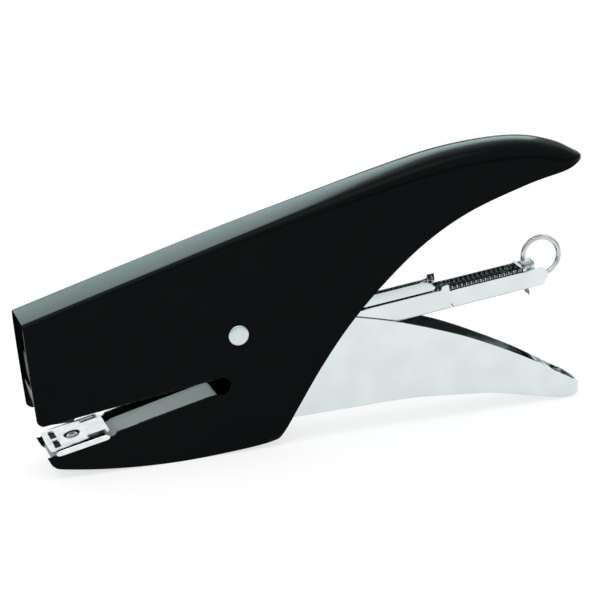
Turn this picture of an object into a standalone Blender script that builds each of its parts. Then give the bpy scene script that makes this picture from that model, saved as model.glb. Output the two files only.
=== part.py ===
"""Plier stapler, modelled as the separate pieces that it is assembled from.

Blender 4.5 script, metres, +Z up. Everything is laid out in a working frame in
millimetres: x runs back from the nose, y across, z up from the surface that the
stapler stands on. One empty, model_frame, moves that frame so that the origin is
at the bottom centre of the whole object. The handle, the driver and the magazine
turn on the main rivet; the core rail slides along the magazine's sloping line.
"""

import math

import bmesh
import bpy
from mathutils import Matrix, Vector

MM = 0.001

# Overall size
LENGTH = 186.6
BODY_HALF = 9.0
BODY_SHEET = 0.8
GAP = 0.25

# Main pivot, shared by the handle and the magazine
PIVOT_X, PIVOT_Z = 67.3, 39.4
RIVET_RADIUS = 2.0
RIVET_HEAD_RADIUS = 3.25
RIVET_HEAD_HEIGHT = 0.6
PIVOT_HOLE_RADIUS = RIVET_RADIUS + 0.3

# Lower handle, a channel that fits between the body's side plates
HANDLE_HALF = BODY_HALF - BODY_SHEET - GAP
HANDLE_SHEET = 0.7
HANDLE_TAIL_HALF = 6.0
HANDLE_TAIL_X = 186.5
HANDLE_TAPER_START = 140.0

# Magazine line: where its underside crosses MAGAZINE_X, and its slope
MAGAZINE_X, MAGAZINE_Z = 123.4, 35.8
MAGAZINE_SLOPE = math.atan(0.112)
MAGAZINE_HALF = HANDLE_HALF - HANDLE_SHEET - GAP
MAGAZINE_SHEET = 0.5
MAGAZINE_HEIGHT = 6.8
MAGAZINE_FRONT = -112.0
MAGAZINE_REAR = 16.0

# Staples, and the rail that they straddle
STAPLE_HALF = 6.25
STAPLE_WIRE = 0.5
STAPLE_TOP = 6.1
STRIP_FRONT = -118.2
STRIP_LENGTH = 42.0
RAIL_HALF = 5.6
RAIL_SHEET = 0.5
RAIL_FLOOR = 0.75
RAIL_TOP = 5.35
RAIL_FRONT = -116.5
RAIL_REAR = 47.0
RAIL_GRIP_DROP = 1.35
FOLLOWER_LENGTH = 11.0
ROD_HEIGHT = 3.75
ROD_RADIUS = 0.8
FOLLOWER_SPRING_RADIUS = 2.1
FOLLOWER_SPRING_WIRE = 0.3
FOLLOWER_SPRING_TURNS = 26
RING_X, RING_Z = 173.8, 48.9
RING_RADIUS = 6.05

# Driver and guide, both curved about the main pivot
DRIVER_RADIUS = 64.9
DRIVER_HALF_SHEET = 0.25
DRIVER_PIN = (7.4, 41.0)
GUIDE_SHEET = 0.7

# Lower jaw and anvil, on a line that rises towards the back
JAW_X, JAW_Z = 4.6, 8.4
JAW_SLOPE = math.atan(0.2045)
ANVIL_FRONT, ANVIL_REAR = 0.9, 20.9
ANVIL_HALF = 8.4

# Finishes: colour, metallic, roughness
BLACK_ENAMEL = ("black_enamel", (0.006, 0.008, 0.008, 1.0), 0.0, 0.18)
GREY_COAT = ("grey_coat", (0.10, 0.12, 0.12, 1.0), 0.0, 0.4)
CHROME = ("bright_chrome", (0.80, 0.82, 0.83, 1.0), 1.0, 0.12)
SPRING_STEEL = ("spring_steel", (0.30, 0.31, 0.32, 1.0), 1.0, 0.35)
DARK_STEEL = ("dark_steel", (0.06, 0.065, 0.07, 1.0), 1.0, 0.40)
STAPLE_STEEL = ("staple_steel", (0.62, 0.63, 0.64, 1.0), 1.0, 0.28)


def clear_scene():
    for old in list(bpy.data.objects):
        bpy.data.objects.remove(old, do_unlink=True)


def finish_material(finish):
    name, colour, metallic, roughness = finish
    material = bpy.data.materials.get(name)
    if material is None:
        material = bpy.data.materials.new(name)
        material.use_nodes = True
        shader = material.node_tree.nodes["Principled BSDF"]
        shader.inputs["Base Color"].default_value = colour
        shader.inputs["Metallic"].default_value = metallic
        shader.inputs["Roughness"].default_value = roughness
        material.diffuse_color = colour
    return material


# Points and outlines -------------------------------------------------------

def on_magazine(along, up):
    """A point of the magazine's sloping frame, as working x and z."""
    cos, sin = math.cos(MAGAZINE_SLOPE), math.sin(MAGAZINE_SLOPE)
    return (MAGAZINE_X + along * cos - up * sin, MAGAZINE_Z + along * sin + up * cos)


def on_jaw(along, up):
    """A point of the lower jaw's sloping frame, as working x and z."""
    cos, sin = math.cos(JAW_SLOPE), math.sin(JAW_SLOPE)
    return (JAW_X + along * cos - up * sin, JAW_Z + along * sin + up * cos)


def about_pivot(radius, height):
    """The point in front of the pivot at this radius and working height."""
    rise = height - PIVOT_Z
    return (PIVOT_X - math.sqrt(radius * radius - rise * rise), height)


def rectangle(frame, along_a, along_b, up_a, up_b):
    corners = ((along_a, up_a), (along_b, up_a), (along_b, up_b), (along_a, up_b))
    return [frame(along, up) for along, up in corners]


def arc(centre, radius, start, end, steps):
    """Points of an arc, its angles in degrees from +x towards +z."""
    points = []
    for step in range(steps + 1):
        angle = math.radians(start + (end - start) * step / steps)
        points.append((centre[0] + radius * math.cos(angle), centre[1] + radius * math.sin(angle)))
    return points


def smooth(points, steps):
    """A Catmull-Rom curve through the points, with its ends kept."""
    padded = [points[0]] + list(points) + [points[-1]]
    curve = []
    for index in range(1, len(padded) - 2):
        p0, p1, p2, p3 = (Vector(padded[index + shift]) for shift in (-1, 0, 1, 2))
        for step in range(steps):
            t = step / steps
            point = 0.5 * (2 * p1 + (p2 - p0) * t + (2 * p0 - 5 * p1 + 4 * p2 - p3) * t * t
                           + (3 * p1 - p0 - 3 * p2 + p3) * t * t * t)
            curve.append(tuple(point))
    curve.append(tuple(points[-1]))
    return curve


def round_end_plan(x_start, x_taper, half_start, half_end, x_end, steps=8):
    """Seen from above: straight sides that taper, and a round end."""
    centre = x_end - half_end
    side = [(x_start, -half_start), (x_taper, -half_start)]
    end = arc((centre, 0.0), half_end, -90.0, 90.0, steps)
    return side + end + [(x, -y) for x, y in reversed(side)]


# Solids --------------------------------------------------------------------

def mesh_object(name, mesh_builder):
    mesh = bpy.data.meshes.new(name)
    mesh_builder.to_mesh(mesh)
    mesh_builder.free()
    piece = bpy.data.objects.new(name, mesh)
    bpy.context.scene.collection.objects.link(piece)
    return piece


def extruded(name, base, offset):
    """The polygon base, in millimetres, extruded by offset."""
    builder = bmesh.new()
    corners = [builder.verts.new(Vector(point) * MM) for point in base]
    face = builder.faces.new(corners)
    grown = bmesh.ops.extrude_face_region(builder, geom=[face])
    moved = [item for item in grown["geom"] if isinstance(item, bmesh.types.BMVert)]
    bmesh.ops.translate(builder, verts=moved, vec=Vector(offset) * MM)
    bmesh.ops.recalc_face_normals(builder, faces=builder.faces)
    return mesh_object(name, builder)


def side_prism(name, outline, y_low, y_high):
    """A side-view outline, as x and z, extruded across."""
    return extruded(name, [(x, y_low, z) for x, z in outline], (0.0, y_high - y_low, 0.0))


def plan_prism(name, outline, z_low, z_high):
    """An outline seen from above, as x and y, extruded upwards."""
    return extruded(name, [(x, y, z_low) for x, y in outline], (0.0, 0.0, z_high - z_low))


def turned(name, profile, centre, axis, segments=20):
    """A profile of radius and height, turned about axis through centre."""
    builder = bmesh.new()
    verts = [builder.verts.new((radius * MM, 0.0, height * MM)) for radius, height in profile]
    closed = profile[0][0] > 0.0
    count = len(verts) if closed else len(verts) - 1
    edges = [builder.edges.new((verts[i], verts[(i + 1) % len(verts)])) for i in range(count)]
    bmesh.ops.spin(builder, geom=verts + edges, cent=(0, 0, 0), axis=(0, 0, 1),
                   angle=math.tau, steps=segments, use_merge=True)
    bmesh.ops.remove_doubles(builder, verts=builder.verts, dist=1e-6)
    bmesh.ops.recalc_face_normals(builder, faces=builder.faces)
    turn = Vector((0, 0, 1)).rotation_difference(Vector(axis)).to_matrix().to_4x4()
    bmesh.ops.transform(builder, matrix=Matrix.Translation(Vector(centre) * MM) @ turn,
                        verts=builder.verts)
    piece = mesh_object(name, builder)
    smooth_round(piece)
    return piece


def peg(name, radius, half_length, x, z, segments=20):
    """A plain pin across the stapler."""
    profile = [(0.0, -half_length), (radius, -half_length), (radius, half_length),
               (0.0, half_length)]
    return turned(name, profile, (x, 0.0, z), (0, 1, 0), segments)


def wire(name, points, radius, sides=2, cyclic=False):
    """Round wire along the points, as x, y, z."""
    curve = bpy.data.curves.new(name, "CURVE")
    curve.dimensions = "3D"
    curve.bevel_depth = radius * MM
    curve.bevel_resolution = sides
    curve.use_fill_caps = not cyclic
    spline = curve.splines.new("POLY")
    spline.points.add(len(points) - 1)
    for target, point in zip(spline.points, points):
        target.co = (*(Vector(point) * MM), 1.0)
    spline.use_cyclic_u = cyclic
    guide = bpy.data.objects.new(name + "_curve", curve)
    bpy.context.scene.collection.objects.link(guide)
    mesh = bpy.data.meshes.new_from_object(guide)
    bpy.data.objects.remove(guide, do_unlink=True)
    piece = bpy.data.objects.new(name, mesh)
    bpy.context.scene.collection.objects.link(piece)
    smooth_round(piece)
    return piece


def smooth_round(piece):
    piece.data.shade_smooth()
    piece.data.set_sharp_from_angle(angle=math.radians(40))


def combine(target, others, operation):
    """Apply one exact Boolean with each of the others, and drop them."""
    for other in others:
        step = target.modifiers.new(operation.lower(), "BOOLEAN")
        step.operation = operation
        step.solver = "EXACT"
        step.object = other
    bpy.context.view_layer.update()
    result = target.evaluated_get(bpy.context.evaluated_depsgraph_get())
    mesh = bpy.data.meshes.new_from_object(result)
    target.modifiers.clear()
    target.data = mesh
    for other in others:
        bpy.data.objects.remove(other, do_unlink=True)
    return target


def cut(target, *cutters):
    return combine(target, cutters, "DIFFERENCE")


def joined(target, *others):
    return combine(target, others, "UNION")


def node(piece, finish, frame, origin=(0.0, 0.0, 0.0)):
    """Give a piece its material, its own origin and its place in the model."""
    start = Vector(origin) * MM
    piece.data.transform(Matrix.Translation(-start))
    piece.location = start
    piece.parent = frame
    piece.data.materials.clear()
    piece.data.materials.append(finish_material(finish))
    return piece


# Body and lower jaw ---------------------------------------------------------

def body_top():
    """The crest of the body, from the nose back over the tail."""
    return smooth([(0.0, 51.8), (30.0, 60.3), (60.0, 68.7), (90.0, 76.8), (118.0, 84.3),
                   (138.0, 88.8), (155.0, 90.5), (168.0, 90.0), (178.0, 87.3), (184.6, 83.9)], 3)


def body_rear():
    """The hollow edge from the tail down to the heel of the lower jaw."""
    return smooth([(184.0, 81.5), (177.4, 79.4), (164.6, 76.4), (145.0, 69.8), (129.5, 61.1), (115.3, 49.3),
                   (103.8, 37.3), (94.3, 24.9), (86.0, 12.2), (81.0, 4.6)], 3)


def body_shell(frame):
    tail = [(186.2, 82.9), (186.6, 82.2), (186.0, 81.7)]
    jaw_bottom = smooth([(77.4, 2.2), (65.3, 0.8), (45.4, 0.0), (25.9, 1.0), (10.0, 3.2),
                         (6.4, 4.6), (4.3, 7.4)], 3)
    jaw_edge = [on_jaw(-0.2, -0.1), on_jaw(0.8, -0.6), on_jaw(22.0, -0.6), on_jaw(22.8, 0.25),
                on_jaw(54.0, 0.95), on_jaw(56.0, 0.75)]
    throat_end = arc((61.4, 23.1), 2.9, -70.0, 82.0, 8)
    throat_top = [(4.6, 18.4), (2.9, 19.1), (2.3, 20.6)]
    front = [(0.4, 44.8)]
    outline = (body_top() + tail + body_rear() + jaw_bottom + jaw_edge + throat_end + throat_top
               + front)
    body = side_prism("body_shell", outline, -BODY_HALF, BODY_HALF)
    round_body_crest(body)
    plan = round_end_plan(-10.0, 160.0, BODY_HALF + 1.0, BODY_HALF, LENGTH, 10)
    plan[1] = (LENGTH - BODY_HALF, -BODY_HALF - 1.0)
    plan[-2] = (LENGTH - BODY_HALF, BODY_HALF + 1.0)
    combine(body, [plan_prism("tail_plan", plan, -5.0, 120.0)], "INTERSECT")

    inner_half = BODY_HALF - BODY_SHEET
    crest = [(x, z - BODY_SHEET / 0.95) for x, z in body_top()[1:]]
    hollow = [(-10.0, crest[0][1] - 3.0)] + crest + [(184.9, 81.5), (195.0, 60.0), (120.0, -10.0),
                                                     (-10.0, -10.0)]
    cavity = side_prism("body_cavity", hollow, -inner_half, inner_half)
    plan = round_end_plan(-20.0, LENGTH - BODY_HALF, inner_half, inner_half,
                          LENGTH - BODY_SHEET, 10)
    combine(cavity, [plan_prism("cavity_plan", plan, -15.0, 120.0)], "INTERSECT")
    hole = peg("rivet_hole", PIVOT_HOLE_RADIUS, 20.0, PIVOT_X, PIVOT_Z)
    cut(body, cavity, hole)
    return node(body, BLACK_ENAMEL, frame)


def round_body_crest(body):
    """Round the two long bends between the crest and the side plates."""
    crest = [Vector((x, 0.0, z)) * MM for x, z in body_top()]
    builder = bmesh.new()
    builder.from_mesh(body.data)

    def on_crest(vert):
        return any((Vector((vert.co.x, 0.0, vert.co.z)) - point).length < 1e-6 for point in crest)

    bends = [edge for edge in builder.edges
             if abs(edge.verts[0].co.y - edge.verts[1].co.y) < 1e-6
             and all(on_crest(vert) for vert in edge.verts)]
    bmesh.ops.bevel(builder, geom=bends, offset=1.6 * MM, segments=2, profile=0.5,
                    affect="EDGES", clamp_overlap=True)
    builder.to_mesh(body.data)
    builder.free()


def jaw_channel(frame):
    """The channel that joins the two side plates of the lower jaw."""
    half = BODY_HALF - BODY_SHEET - GAP
    top = [on_jaw(1.4, -3.0), on_jaw(20.0, -2.95), on_jaw(24.0, -1.7), on_jaw(55.0, -0.5)]
    end = arc(on_jaw(55.3, -2.7), 2.2, 78.0, -10.0, 3)
    under = [(60.5, 9.0), (40.0, 4.0), (22.0, 3.0), (10.0, 4.4)]
    channel = side_prism("jaw_channel", top + end + under, -half, half)
    inside = [on_jaw(-4.0, -3.7), on_jaw(20.2, -3.65), on_jaw(24.2, -2.4), on_jaw(54.9, -1.25),
              (60.7, 16.4), (59.7, 8.0), (59.7, -12.0), (0.0, -12.0)]
    hole = turned("anvil_rivet_hole", [(0, -8), (1.6, -8), (1.6, 8), (0, 8)],
                  on_jaw_3d(10.0, -3.0), jaw_up(), 16)
    cut(channel, side_prism("jaw_channel_inside", inside, -half + 0.7, half - 0.7), hole)
    return node(channel, GREY_COAT, frame)


def on_jaw_3d(along, up):
    x, z = on_jaw(along, up)
    return (x, 0.0, z)


def jaw_up():
    return (-math.sin(JAW_SLOPE), 0.0, math.cos(JAW_SLOPE))


def anvil(frame):
    """Plate with two clinching pockets, its clip, its rivet and its spacer."""
    plate = side_prism("anvil_plate", rectangle(on_jaw, ANVIL_FRONT, ANVIL_REAR, 0.15, 0.85),
                       -ANVIL_HALF, ANVIL_HALF)
    pockets = [side_prism("pocket", rectangle(on_jaw, 3.5, 5.1, 0.5, 2.0), side - 2.8, side + 2.8)
               for side in (-3.8, 3.8)]
    notches = [side_prism("notch", rectangle(on_jaw, 14.6, 19.4, -1.0, 2.0), low, high)
               for low, high in ((-9.0, -5.6), (5.6, 9.0))]
    hole = turned("rivet_hole", [(0, -3), (2.3, -3), (2.3, 3), (0, 3)], on_jaw_3d(10.0, 0.5),
                  jaw_up(), 16)
    cut(plate, *pockets, *notches, hole)
    node(plate, CHROME, frame)

    clip_half = BODY_HALF + 0.8
    clip = side_prism("anvil_clip", rectangle(on_jaw, 2.8, 20.2, -1.1, 0.75), -clip_half,
                      clip_half)
    slot = BODY_HALF + GAP
    under = side_prism("clip_under", rectangle(on_jaw, 0.0, 30.0, -4.0, -0.45), -slot, slot)
    above = side_prism("clip_above", rectangle(on_jaw, 0.0, 30.0, -0.1, 3.0), -slot, slot)
    hole = turned("rivet_hole", [(0, -3), (1.6, -3), (1.6, 3), (0, 3)], on_jaw_3d(10.0, -0.5),
                  jaw_up(), 16)
    cut(clip, under, above, hole)
    node(clip, CHROME, frame)

    rivet = turned("anvil_rivet", [(0, -4.6), (2.6, -4.6), (2.6, -3.95), (1.3, -3.95),
                                   (1.3, -0.05), (1.9, 0.0), (1.9, 0.6), (0, 0.6)],
                   on_jaw_3d(10.0, 0.0), jaw_up(), 16)
    node(rivet, STAPLE_STEEL, frame)
    spacer = turned("anvil_spacer", [(1.6, -2.7), (3.4, -2.7), (3.4, -0.7), (1.6, -0.7)],
                    on_jaw_3d(10.0, 0.0), jaw_up(), 16)
    node(spacer, DARK_STEEL, frame)


# Pivot ----------------------------------------------------------------------

def pivot(frame):
    inner = BODY_HALF + 0.2
    outer = inner + RIVET_HEAD_HEIGHT
    crown = RIVET_HEAD_RADIUS - 0.5
    profile = [(0, -outer), (crown, -outer), (RIVET_HEAD_RADIUS, -outer + 0.3),
               (RIVET_HEAD_RADIUS, -inner), (RIVET_RADIUS, -inner), (RIVET_RADIUS, inner),
               (RIVET_HEAD_RADIUS, inner), (RIVET_HEAD_RADIUS, outer - 0.3), (crown, outer),
               (0, outer)]
    rivet = turned("main_rivet", profile, (PIVOT_X, 0, PIVOT_Z), (0, 1, 0), 24)
    node(rivet, STAPLE_STEEL, frame, (PIVOT_X, 0, PIVOT_Z))
    length = MAGAZINE_HALF - MAGAZINE_SHEET - GAP
    bush = turned("pivot_bush", [(2.3, -length), (2.85, -length), (2.85, length), (2.3, length)],
                  (PIVOT_X, 0, PIVOT_Z), (0, 1, 0), 24)
    node(bush, DARK_STEEL, frame, (PIVOT_X, 0, PIVOT_Z))


# Handle ---------------------------------------------------------------------

def lower_handle(frame):
    """One pressing: two cheeks, a floor under the grip and a roof over the nose arm."""
    grip_top = smooth([(104.4, 39.9), (121.3, 35.6), (142.1, 28.2), (163.4, 17.9), (178.0, 9.2),
                       (185.2, 5.0)], 3)
    grip_end = [(186.5, 2.9), (185.6, 0.8), (182.4, 0.0)]
    grip_bottom = smooth([(176.0, 0.7), (159.6, 4.6), (148.2, 6.7), (125.6, 8.7), (103.4, 8.5),
                          (82.9, 8.4), (76.0, 10.6), (71.0, 17.0), (69.0, 26.0)], 3)
    arm_bottom = [(66.0, 31.5), (58.0, 34.0), (20.0, 38.4), (3.8, 39.6)]
    arm_top = [(3.5, 44.6), (5.0, 46.2), (20.0, 47.4), (62.0, 49.0), (78.0, 47.8), (92.0, 43.4)]
    outline = grip_top + grip_end + grip_bottom + arm_bottom + arm_top
    handle = side_prism("lower_handle", outline, -HANDLE_HALF, HANDLE_HALF)
    plan = round_end_plan(-5.0, HANDLE_TAPER_START, HANDLE_HALF + 0.001, HANDLE_TAIL_HALF,
                          HANDLE_TAIL_X)
    combine(handle, [plan_prism("grip_plan", plan, -5.0, 60.0)], "INTERSECT")

    sheet = HANDLE_SHEET
    floor = [(x, z + sheet) for x, z in grip_bottom if x > 75.0]
    rear = [(190.0, 60.0), (190.0, 3.2), (185.2, 1.6), (182.4, sheet + 0.1)]
    throat_side = [(70.0, 8.0), (60.0, 20.0), (40.0, 30.0), (4.3, 30.0), (4.2, 44.3), (5.5, 45.4),
                   (20.0, 46.7), (60.0, 48.2), (64.0, 60.0)]
    inside = side_prism("grip_inside", rear + floor + throat_side, -HANDLE_HALF + sheet,
                        HANDLE_HALF - sheet)
    plan = round_end_plan(-8.0, HANDLE_TAPER_START, HANDLE_HALF - sheet,
                          HANDLE_TAIL_HALF - sheet, HANDLE_TAIL_X - sheet)
    combine(inside, [plan_prism("inside_plan", plan, -5.0, 70.0)], "INTERSECT")
    hole = peg("pivot_hole", PIVOT_HOLE_RADIUS, 20.0, PIVOT_X, PIVOT_Z)
    pin_hole = peg("pin_hole", 1.1, 20.0, *DRIVER_PIN)
    cut(handle, inside, hole, pin_hole)
    node(handle, CHROME, frame, (PIVOT_X, 0, PIVOT_Z))

    tab = side_prism("handle_cross_tab", [(173.6, 10.8), (174.3, 10.4), (172.4, 4.0),
                                          (171.7, 4.2)], -5.2, 5.2)
    node(tab, CHROME, frame, (PIVOT_X, 0, PIVOT_Z))


def driver(frame):
    """The blade, curved about the pivot, with a top flange held by the driver pin."""
    heights = [28.0 + 11.2 * step / 6 for step in range(7)]
    front = [about_pivot(DRIVER_RADIUS + DRIVER_HALF_SHEET, z) for z in heights]
    back = [about_pivot(DRIVER_RADIUS - DRIVER_HALF_SHEET, z) for z in heights[:-1]]
    flange = [(9.6, 39.2), (9.6, 38.6), about_pivot(DRIVER_RADIUS - DRIVER_HALF_SHEET, 38.6)]
    blade = side_prism("driver_blade", front + flange + back[::-1], -STAPLE_HALF, STAPLE_HALF)
    node(blade, STAPLE_STEEL, frame, (PIVOT_X, 0, PIVOT_Z))
    pin = peg("driver_pin", 0.8, HANDLE_HALF, *DRIVER_PIN, 12)
    node(pin, SPRING_STEEL, frame, (PIVOT_X, 0, PIVOT_Z))


# Magazine -------------------------------------------------------------------

def magazine(frame):
    start = (PIVOT_X, 0, PIVOT_Z)
    inner = MAGAZINE_HALF - MAGAZINE_SHEET
    ear = arc((PIVOT_X, PIVOT_Z), 4.4, 0.0, 180.0, 10)
    top = [on_magazine(MAGAZINE_REAR, MAGAZINE_HEIGHT + 1.3),
           on_magazine(MAGAZINE_REAR - 2.2, MAGAZINE_HEIGHT + 1.3),
           on_magazine(MAGAZINE_REAR - 2.6, MAGAZINE_HEIGHT),
           on_magazine(-49.5, MAGAZINE_HEIGHT)]
    front = [on_magazine(-62.5, MAGAZINE_HEIGHT), on_magazine(MAGAZINE_FRONT, MAGAZINE_HEIGHT),
             on_magazine(MAGAZINE_FRONT, 0.0)]
    outline = [on_magazine(MAGAZINE_REAR, 0.0)] + top + ear + front
    channel = side_prism("magazine_channel", outline, -MAGAZINE_HALF, MAGAZINE_HALF)
    inside = side_prism("magazine_inside", rectangle(on_magazine, -140.0, 40.0, MAGAZINE_SHEET,
                                                     30.0), -inner, inner)
    hole = peg("pivot_hole", PIVOT_HOLE_RADIUS, 20.0, PIVOT_X, PIVOT_Z)
    cut(channel, inside, hole)
    node(channel, CHROME, frame, start)

    cover = side_prism("magazine_cover", rectangle(on_magazine, -100.0, MAGAZINE_REAR - 3.0, 6.35,
                                                   6.65), -4.3, 4.3)
    node(cover, CHROME, frame, start)
    staple_guide(frame, start)
    node(staple_strip(), STAPLE_STEEL, frame, start)


def staple_guide(frame, start):
    """The front plate and cheeks that lead the staple down to the anvil."""
    outer_radius = DRIVER_RADIUS + 0.6 + GUIDE_SHEET
    heights = [17.8 + 11.4 * step / 4 for step in range(5)]
    front = [about_pivot(outer_radius, z) for z in heights]
    outline = front + [(6.0, 29.2), (6.4, 27.4), on_magazine(MAGAZINE_FRONT - 0.4, 5.0),
                       on_magazine(MAGAZINE_FRONT - 0.4, -0.3), (15.5, 22.2), (14.6, 19.0)]
    guide = side_prism("staple_guide", outline, -MAGAZINE_HALF, MAGAZINE_HALF)
    inner_front = [about_pivot(outer_radius - GUIDE_SHEET, z) for z in (10.0, 16.0, 22.0, 28.0, 34.0)]
    half = MAGAZINE_HALF - MAGAZINE_SHEET
    inside = side_prism("guide_inside", inner_front + [(30.0, 34.0), (30.0, 10.0)], -half, half)
    cut(guide, inside)
    node(guide, DARK_STEEL, frame, start)


def staple_strip():
    """Glued staples: one long staple section, legs down, astride the rail."""
    strip = side_prism("staple_strip", rectangle(on_magazine, STRIP_FRONT,
                                                 STRIP_FRONT + STRIP_LENGTH, 0.8, STAPLE_TOP),
                       -STAPLE_HALF, STAPLE_HALF)
    inner = STAPLE_HALF - STAPLE_WIRE
    inside = side_prism("strip_inside", rectangle(on_magazine, -140.0, 40.0, -5.0,
                                                  STAPLE_TOP - STAPLE_WIRE), -inner, inner)
    return cut(strip, inside)


# Core rail, follower and springs ----------------------------------------------

def core_rail(frame):
    start = on_magazine_3d(RAIL_REAR, ROD_HEIGHT)
    grip = MAGAZINE_REAR + 0.6
    grip_floor = RAIL_FLOOR - RAIL_GRIP_DROP
    outline = [on_magazine(RAIL_FRONT, RAIL_FLOOR), on_magazine(grip, RAIL_FLOOR),
               on_magazine(grip, grip_floor), on_magazine(RAIL_REAR + 2.2, grip_floor),
               on_magazine(RAIL_REAR + 3.6, 1.4), on_magazine(RAIL_REAR + 3.6, 4.2),
               on_magazine(RAIL_REAR + 2.0, RAIL_TOP + 0.4), on_magazine(RAIL_REAR - 4.0, RAIL_TOP),
               on_magazine(RAIL_FRONT, RAIL_TOP)]
    rail = side_prism("core_rail", outline, -RAIL_HALF, RAIL_HALF)
    half = RAIL_HALF - RAIL_SHEET
    inside = side_prism("rail_inside", rectangle(on_magazine, RAIL_FRONT + 0.6, RAIL_REAR + 10.0,
                                                 RAIL_FLOOR + RAIL_SHEET, 20.0), -half, half)
    deep = side_prism("grip_inside", rectangle(on_magazine, grip + 0.6, RAIL_REAR + 10.0,
                                               grip_floor + RAIL_SHEET, 19.0), -half, half)
    cut(rail, inside, deep)
    node(rail, CHROME, frame, start)

    under = grip_floor - GAP
    end = RAIL_REAR - 1.7
    hook = [on_magazine(end - 4.0, under), on_magazine(end - 1.2, under),
            on_magazine(end - 0.2, under - 0.9), on_magazine(end, under - 3.3),
            on_magazine(end - 0.8, under - 3.4), on_magazine(end - 1.2, under - 1.4),
            on_magazine(end - 4.0, under - 0.6)]
    node(side_prism("rail_hook", hook, -2.0, 2.0), DARK_STEEL, frame, start)

    bracket = side_prism("rod_bracket", rectangle(on_magazine, RAIL_REAR - 4.4, RAIL_REAR - 3.4,
                                                  RAIL_FLOOR + RAIL_SHEET + GAP, RAIL_TOP + 0.9),
                         -half + GAP, half - GAP)
    hole = turned("rod_hole", [(0, -5), (ROD_RADIUS + 0.3, -5), (ROD_RADIUS + 0.3, 5), (0, 5)],
                  on_magazine_3d(RAIL_REAR - 4.0, ROD_HEIGHT), magazine_along(), 12)
    cut(bracket, hole)
    node(bracket, CHROME, frame, start)
    node(pull_ring_rod(), SPRING_STEEL, frame, start)


def on_magazine_3d(along, up):
    x, z = on_magazine(along, up)
    return (x, 0.0, z)


def magazine_along():
    return (math.cos(MAGAZINE_SLOPE), 0.0, math.sin(MAGAZINE_SLOPE))


def pull_ring_rod():
    """The spring's guide rod, whose rear end is bent round into the pull ring."""
    rod_start = on_magazine_3d(RAIL_FRONT + 1.2, ROD_HEIGHT)
    rod_end = on_magazine_3d(RAIL_REAR - 2.6, ROD_HEIGHT)
    ring = arc((RING_X, RING_Z), RING_RADIUS, -152.0, 190.0, 28)
    lift = [(RING_X - 6.0, 0.0, 44.9)]
    loop = [(x, 1.9 * step / 28, z) for step, (x, z) in enumerate(ring)]
    return wire("pull_ring_rod", [rod_start, rod_end] + lift + loop, ROD_RADIUS, 1)


def follower_parts(frame):
    rear = STRIP_FRONT + STRIP_LENGTH + GAP
    start = on_magazine_3d(rear, ROD_HEIGHT)
    head = side_prism("follower", rectangle(on_magazine, rear, rear + FOLLOWER_LENGTH, 5.6,
                                            STAPLE_TOP), -STAPLE_HALF + 0.1, STAPLE_HALF - 0.1)
    half = RAIL_HALF - RAIL_SHEET - GAP
    block = side_prism("block", rectangle(on_magazine, rear + 0.01, rear + FOLLOWER_LENGTH - 0.01,
                                          RAIL_FLOOR + RAIL_SHEET + GAP, 5.7), -half, half)
    hole = turned("rod_hole", [(0, -9), (ROD_RADIUS + 0.3, -9), (ROD_RADIUS + 0.3, 9), (0, 9)],
                  on_magazine_3d(rear + FOLLOWER_LENGTH / 2, ROD_HEIGHT), magazine_along(), 12)
    joined(head, block)
    cut(head, hole)
    node(head, DARK_STEEL, frame, start)

    coil_start = rear + FOLLOWER_LENGTH + 0.7
    coil_length = RAIL_REAR - 5.1 - coil_start
    points = []
    per_turn = 9
    for step in range(FOLLOWER_SPRING_TURNS * per_turn + 1):
        angle = math.tau * step / per_turn
        along = coil_start + coil_length * step / (FOLLOWER_SPRING_TURNS * per_turn)
        x, z = on_magazine(along, ROD_HEIGHT + FOLLOWER_SPRING_RADIUS * math.cos(angle))
        points.append((x, FOLLOWER_SPRING_RADIUS * math.sin(angle), z))
    spring = wire("follower_spring", points, FOLLOWER_SPRING_WIRE, 0)
    node(spring, SPRING_STEEL, frame, start)


def return_springs(frame):
    """A coil between the magazine and the nose arm, and a leaf on the magazine's rear."""
    base_x, base_z = 34.0, 34.0
    turns, per_turn, height = 5, 12, 12.2
    points = []
    for step in range(turns * per_turn + 1):
        angle = math.tau * step / per_turn
        points.append((base_x + 3.2 * math.cos(angle), 3.2 * math.sin(angle),
                       base_z + height * step / (turns * per_turn)))
    coil = wire("lever_spring", points, 0.45, 1)
    node(coil, SPRING_STEEL, frame, (base_x, 0, base_z))

    upper = smooth([(60.0, 66.4), (70.0, 69.1), (76.0, 68.4), (84.0, 60.0), (91.0, 48.0),
                    (95.5, 41.4), (98.0, 40.9), (101.0, 42.0)], 3)
    lower = [(x - 0.45, z - 0.25) for x, z in reversed(upper)]
    leaf = side_prism("return_leaf", upper + lower, -4.0, 4.0)
    node(leaf, SPRING_STEEL, frame, (60.0, 0, 66.0))
    saddle = side_prism("leaf_saddle", [(60.5, 66.9), (68.5, 69.1), (68.4, 69.7), (60.4, 67.5)],
                        -3.5, 3.5)
    node(saddle, DARK_STEEL, frame, (60.0, 0, 66.0))


def main():
    clear_scene()
    frame = bpy.data.objects.new("model_frame", None)
    frame.location = (-LENGTH / 2 * MM, 0.0, 0.0)
    bpy.context.scene.collection.objects.link(frame)
    body_shell(frame)
    jaw_channel(frame)
    anvil(frame)
    pivot(frame)
    lower_handle(frame)
    driver(frame)
    magazine(frame)
    core_rail(frame)
    follower_parts(frame)
    return_springs(frame)


main()
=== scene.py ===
"""Looks of a hand-held plier stapler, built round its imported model.

Every sheet, wire and rivet that shows is made here as a numpy surface in
millimetres, in the layout that the model uses: x runs back from the nose, y
across, z up from the table. The layout is then placed in the model's frame.
"""

import logging
import math
from dataclasses import dataclass, field
from enum import Enum

import bmesh
import bpy
import numpy as np
from mathutils import Matrix, Vector


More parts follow.
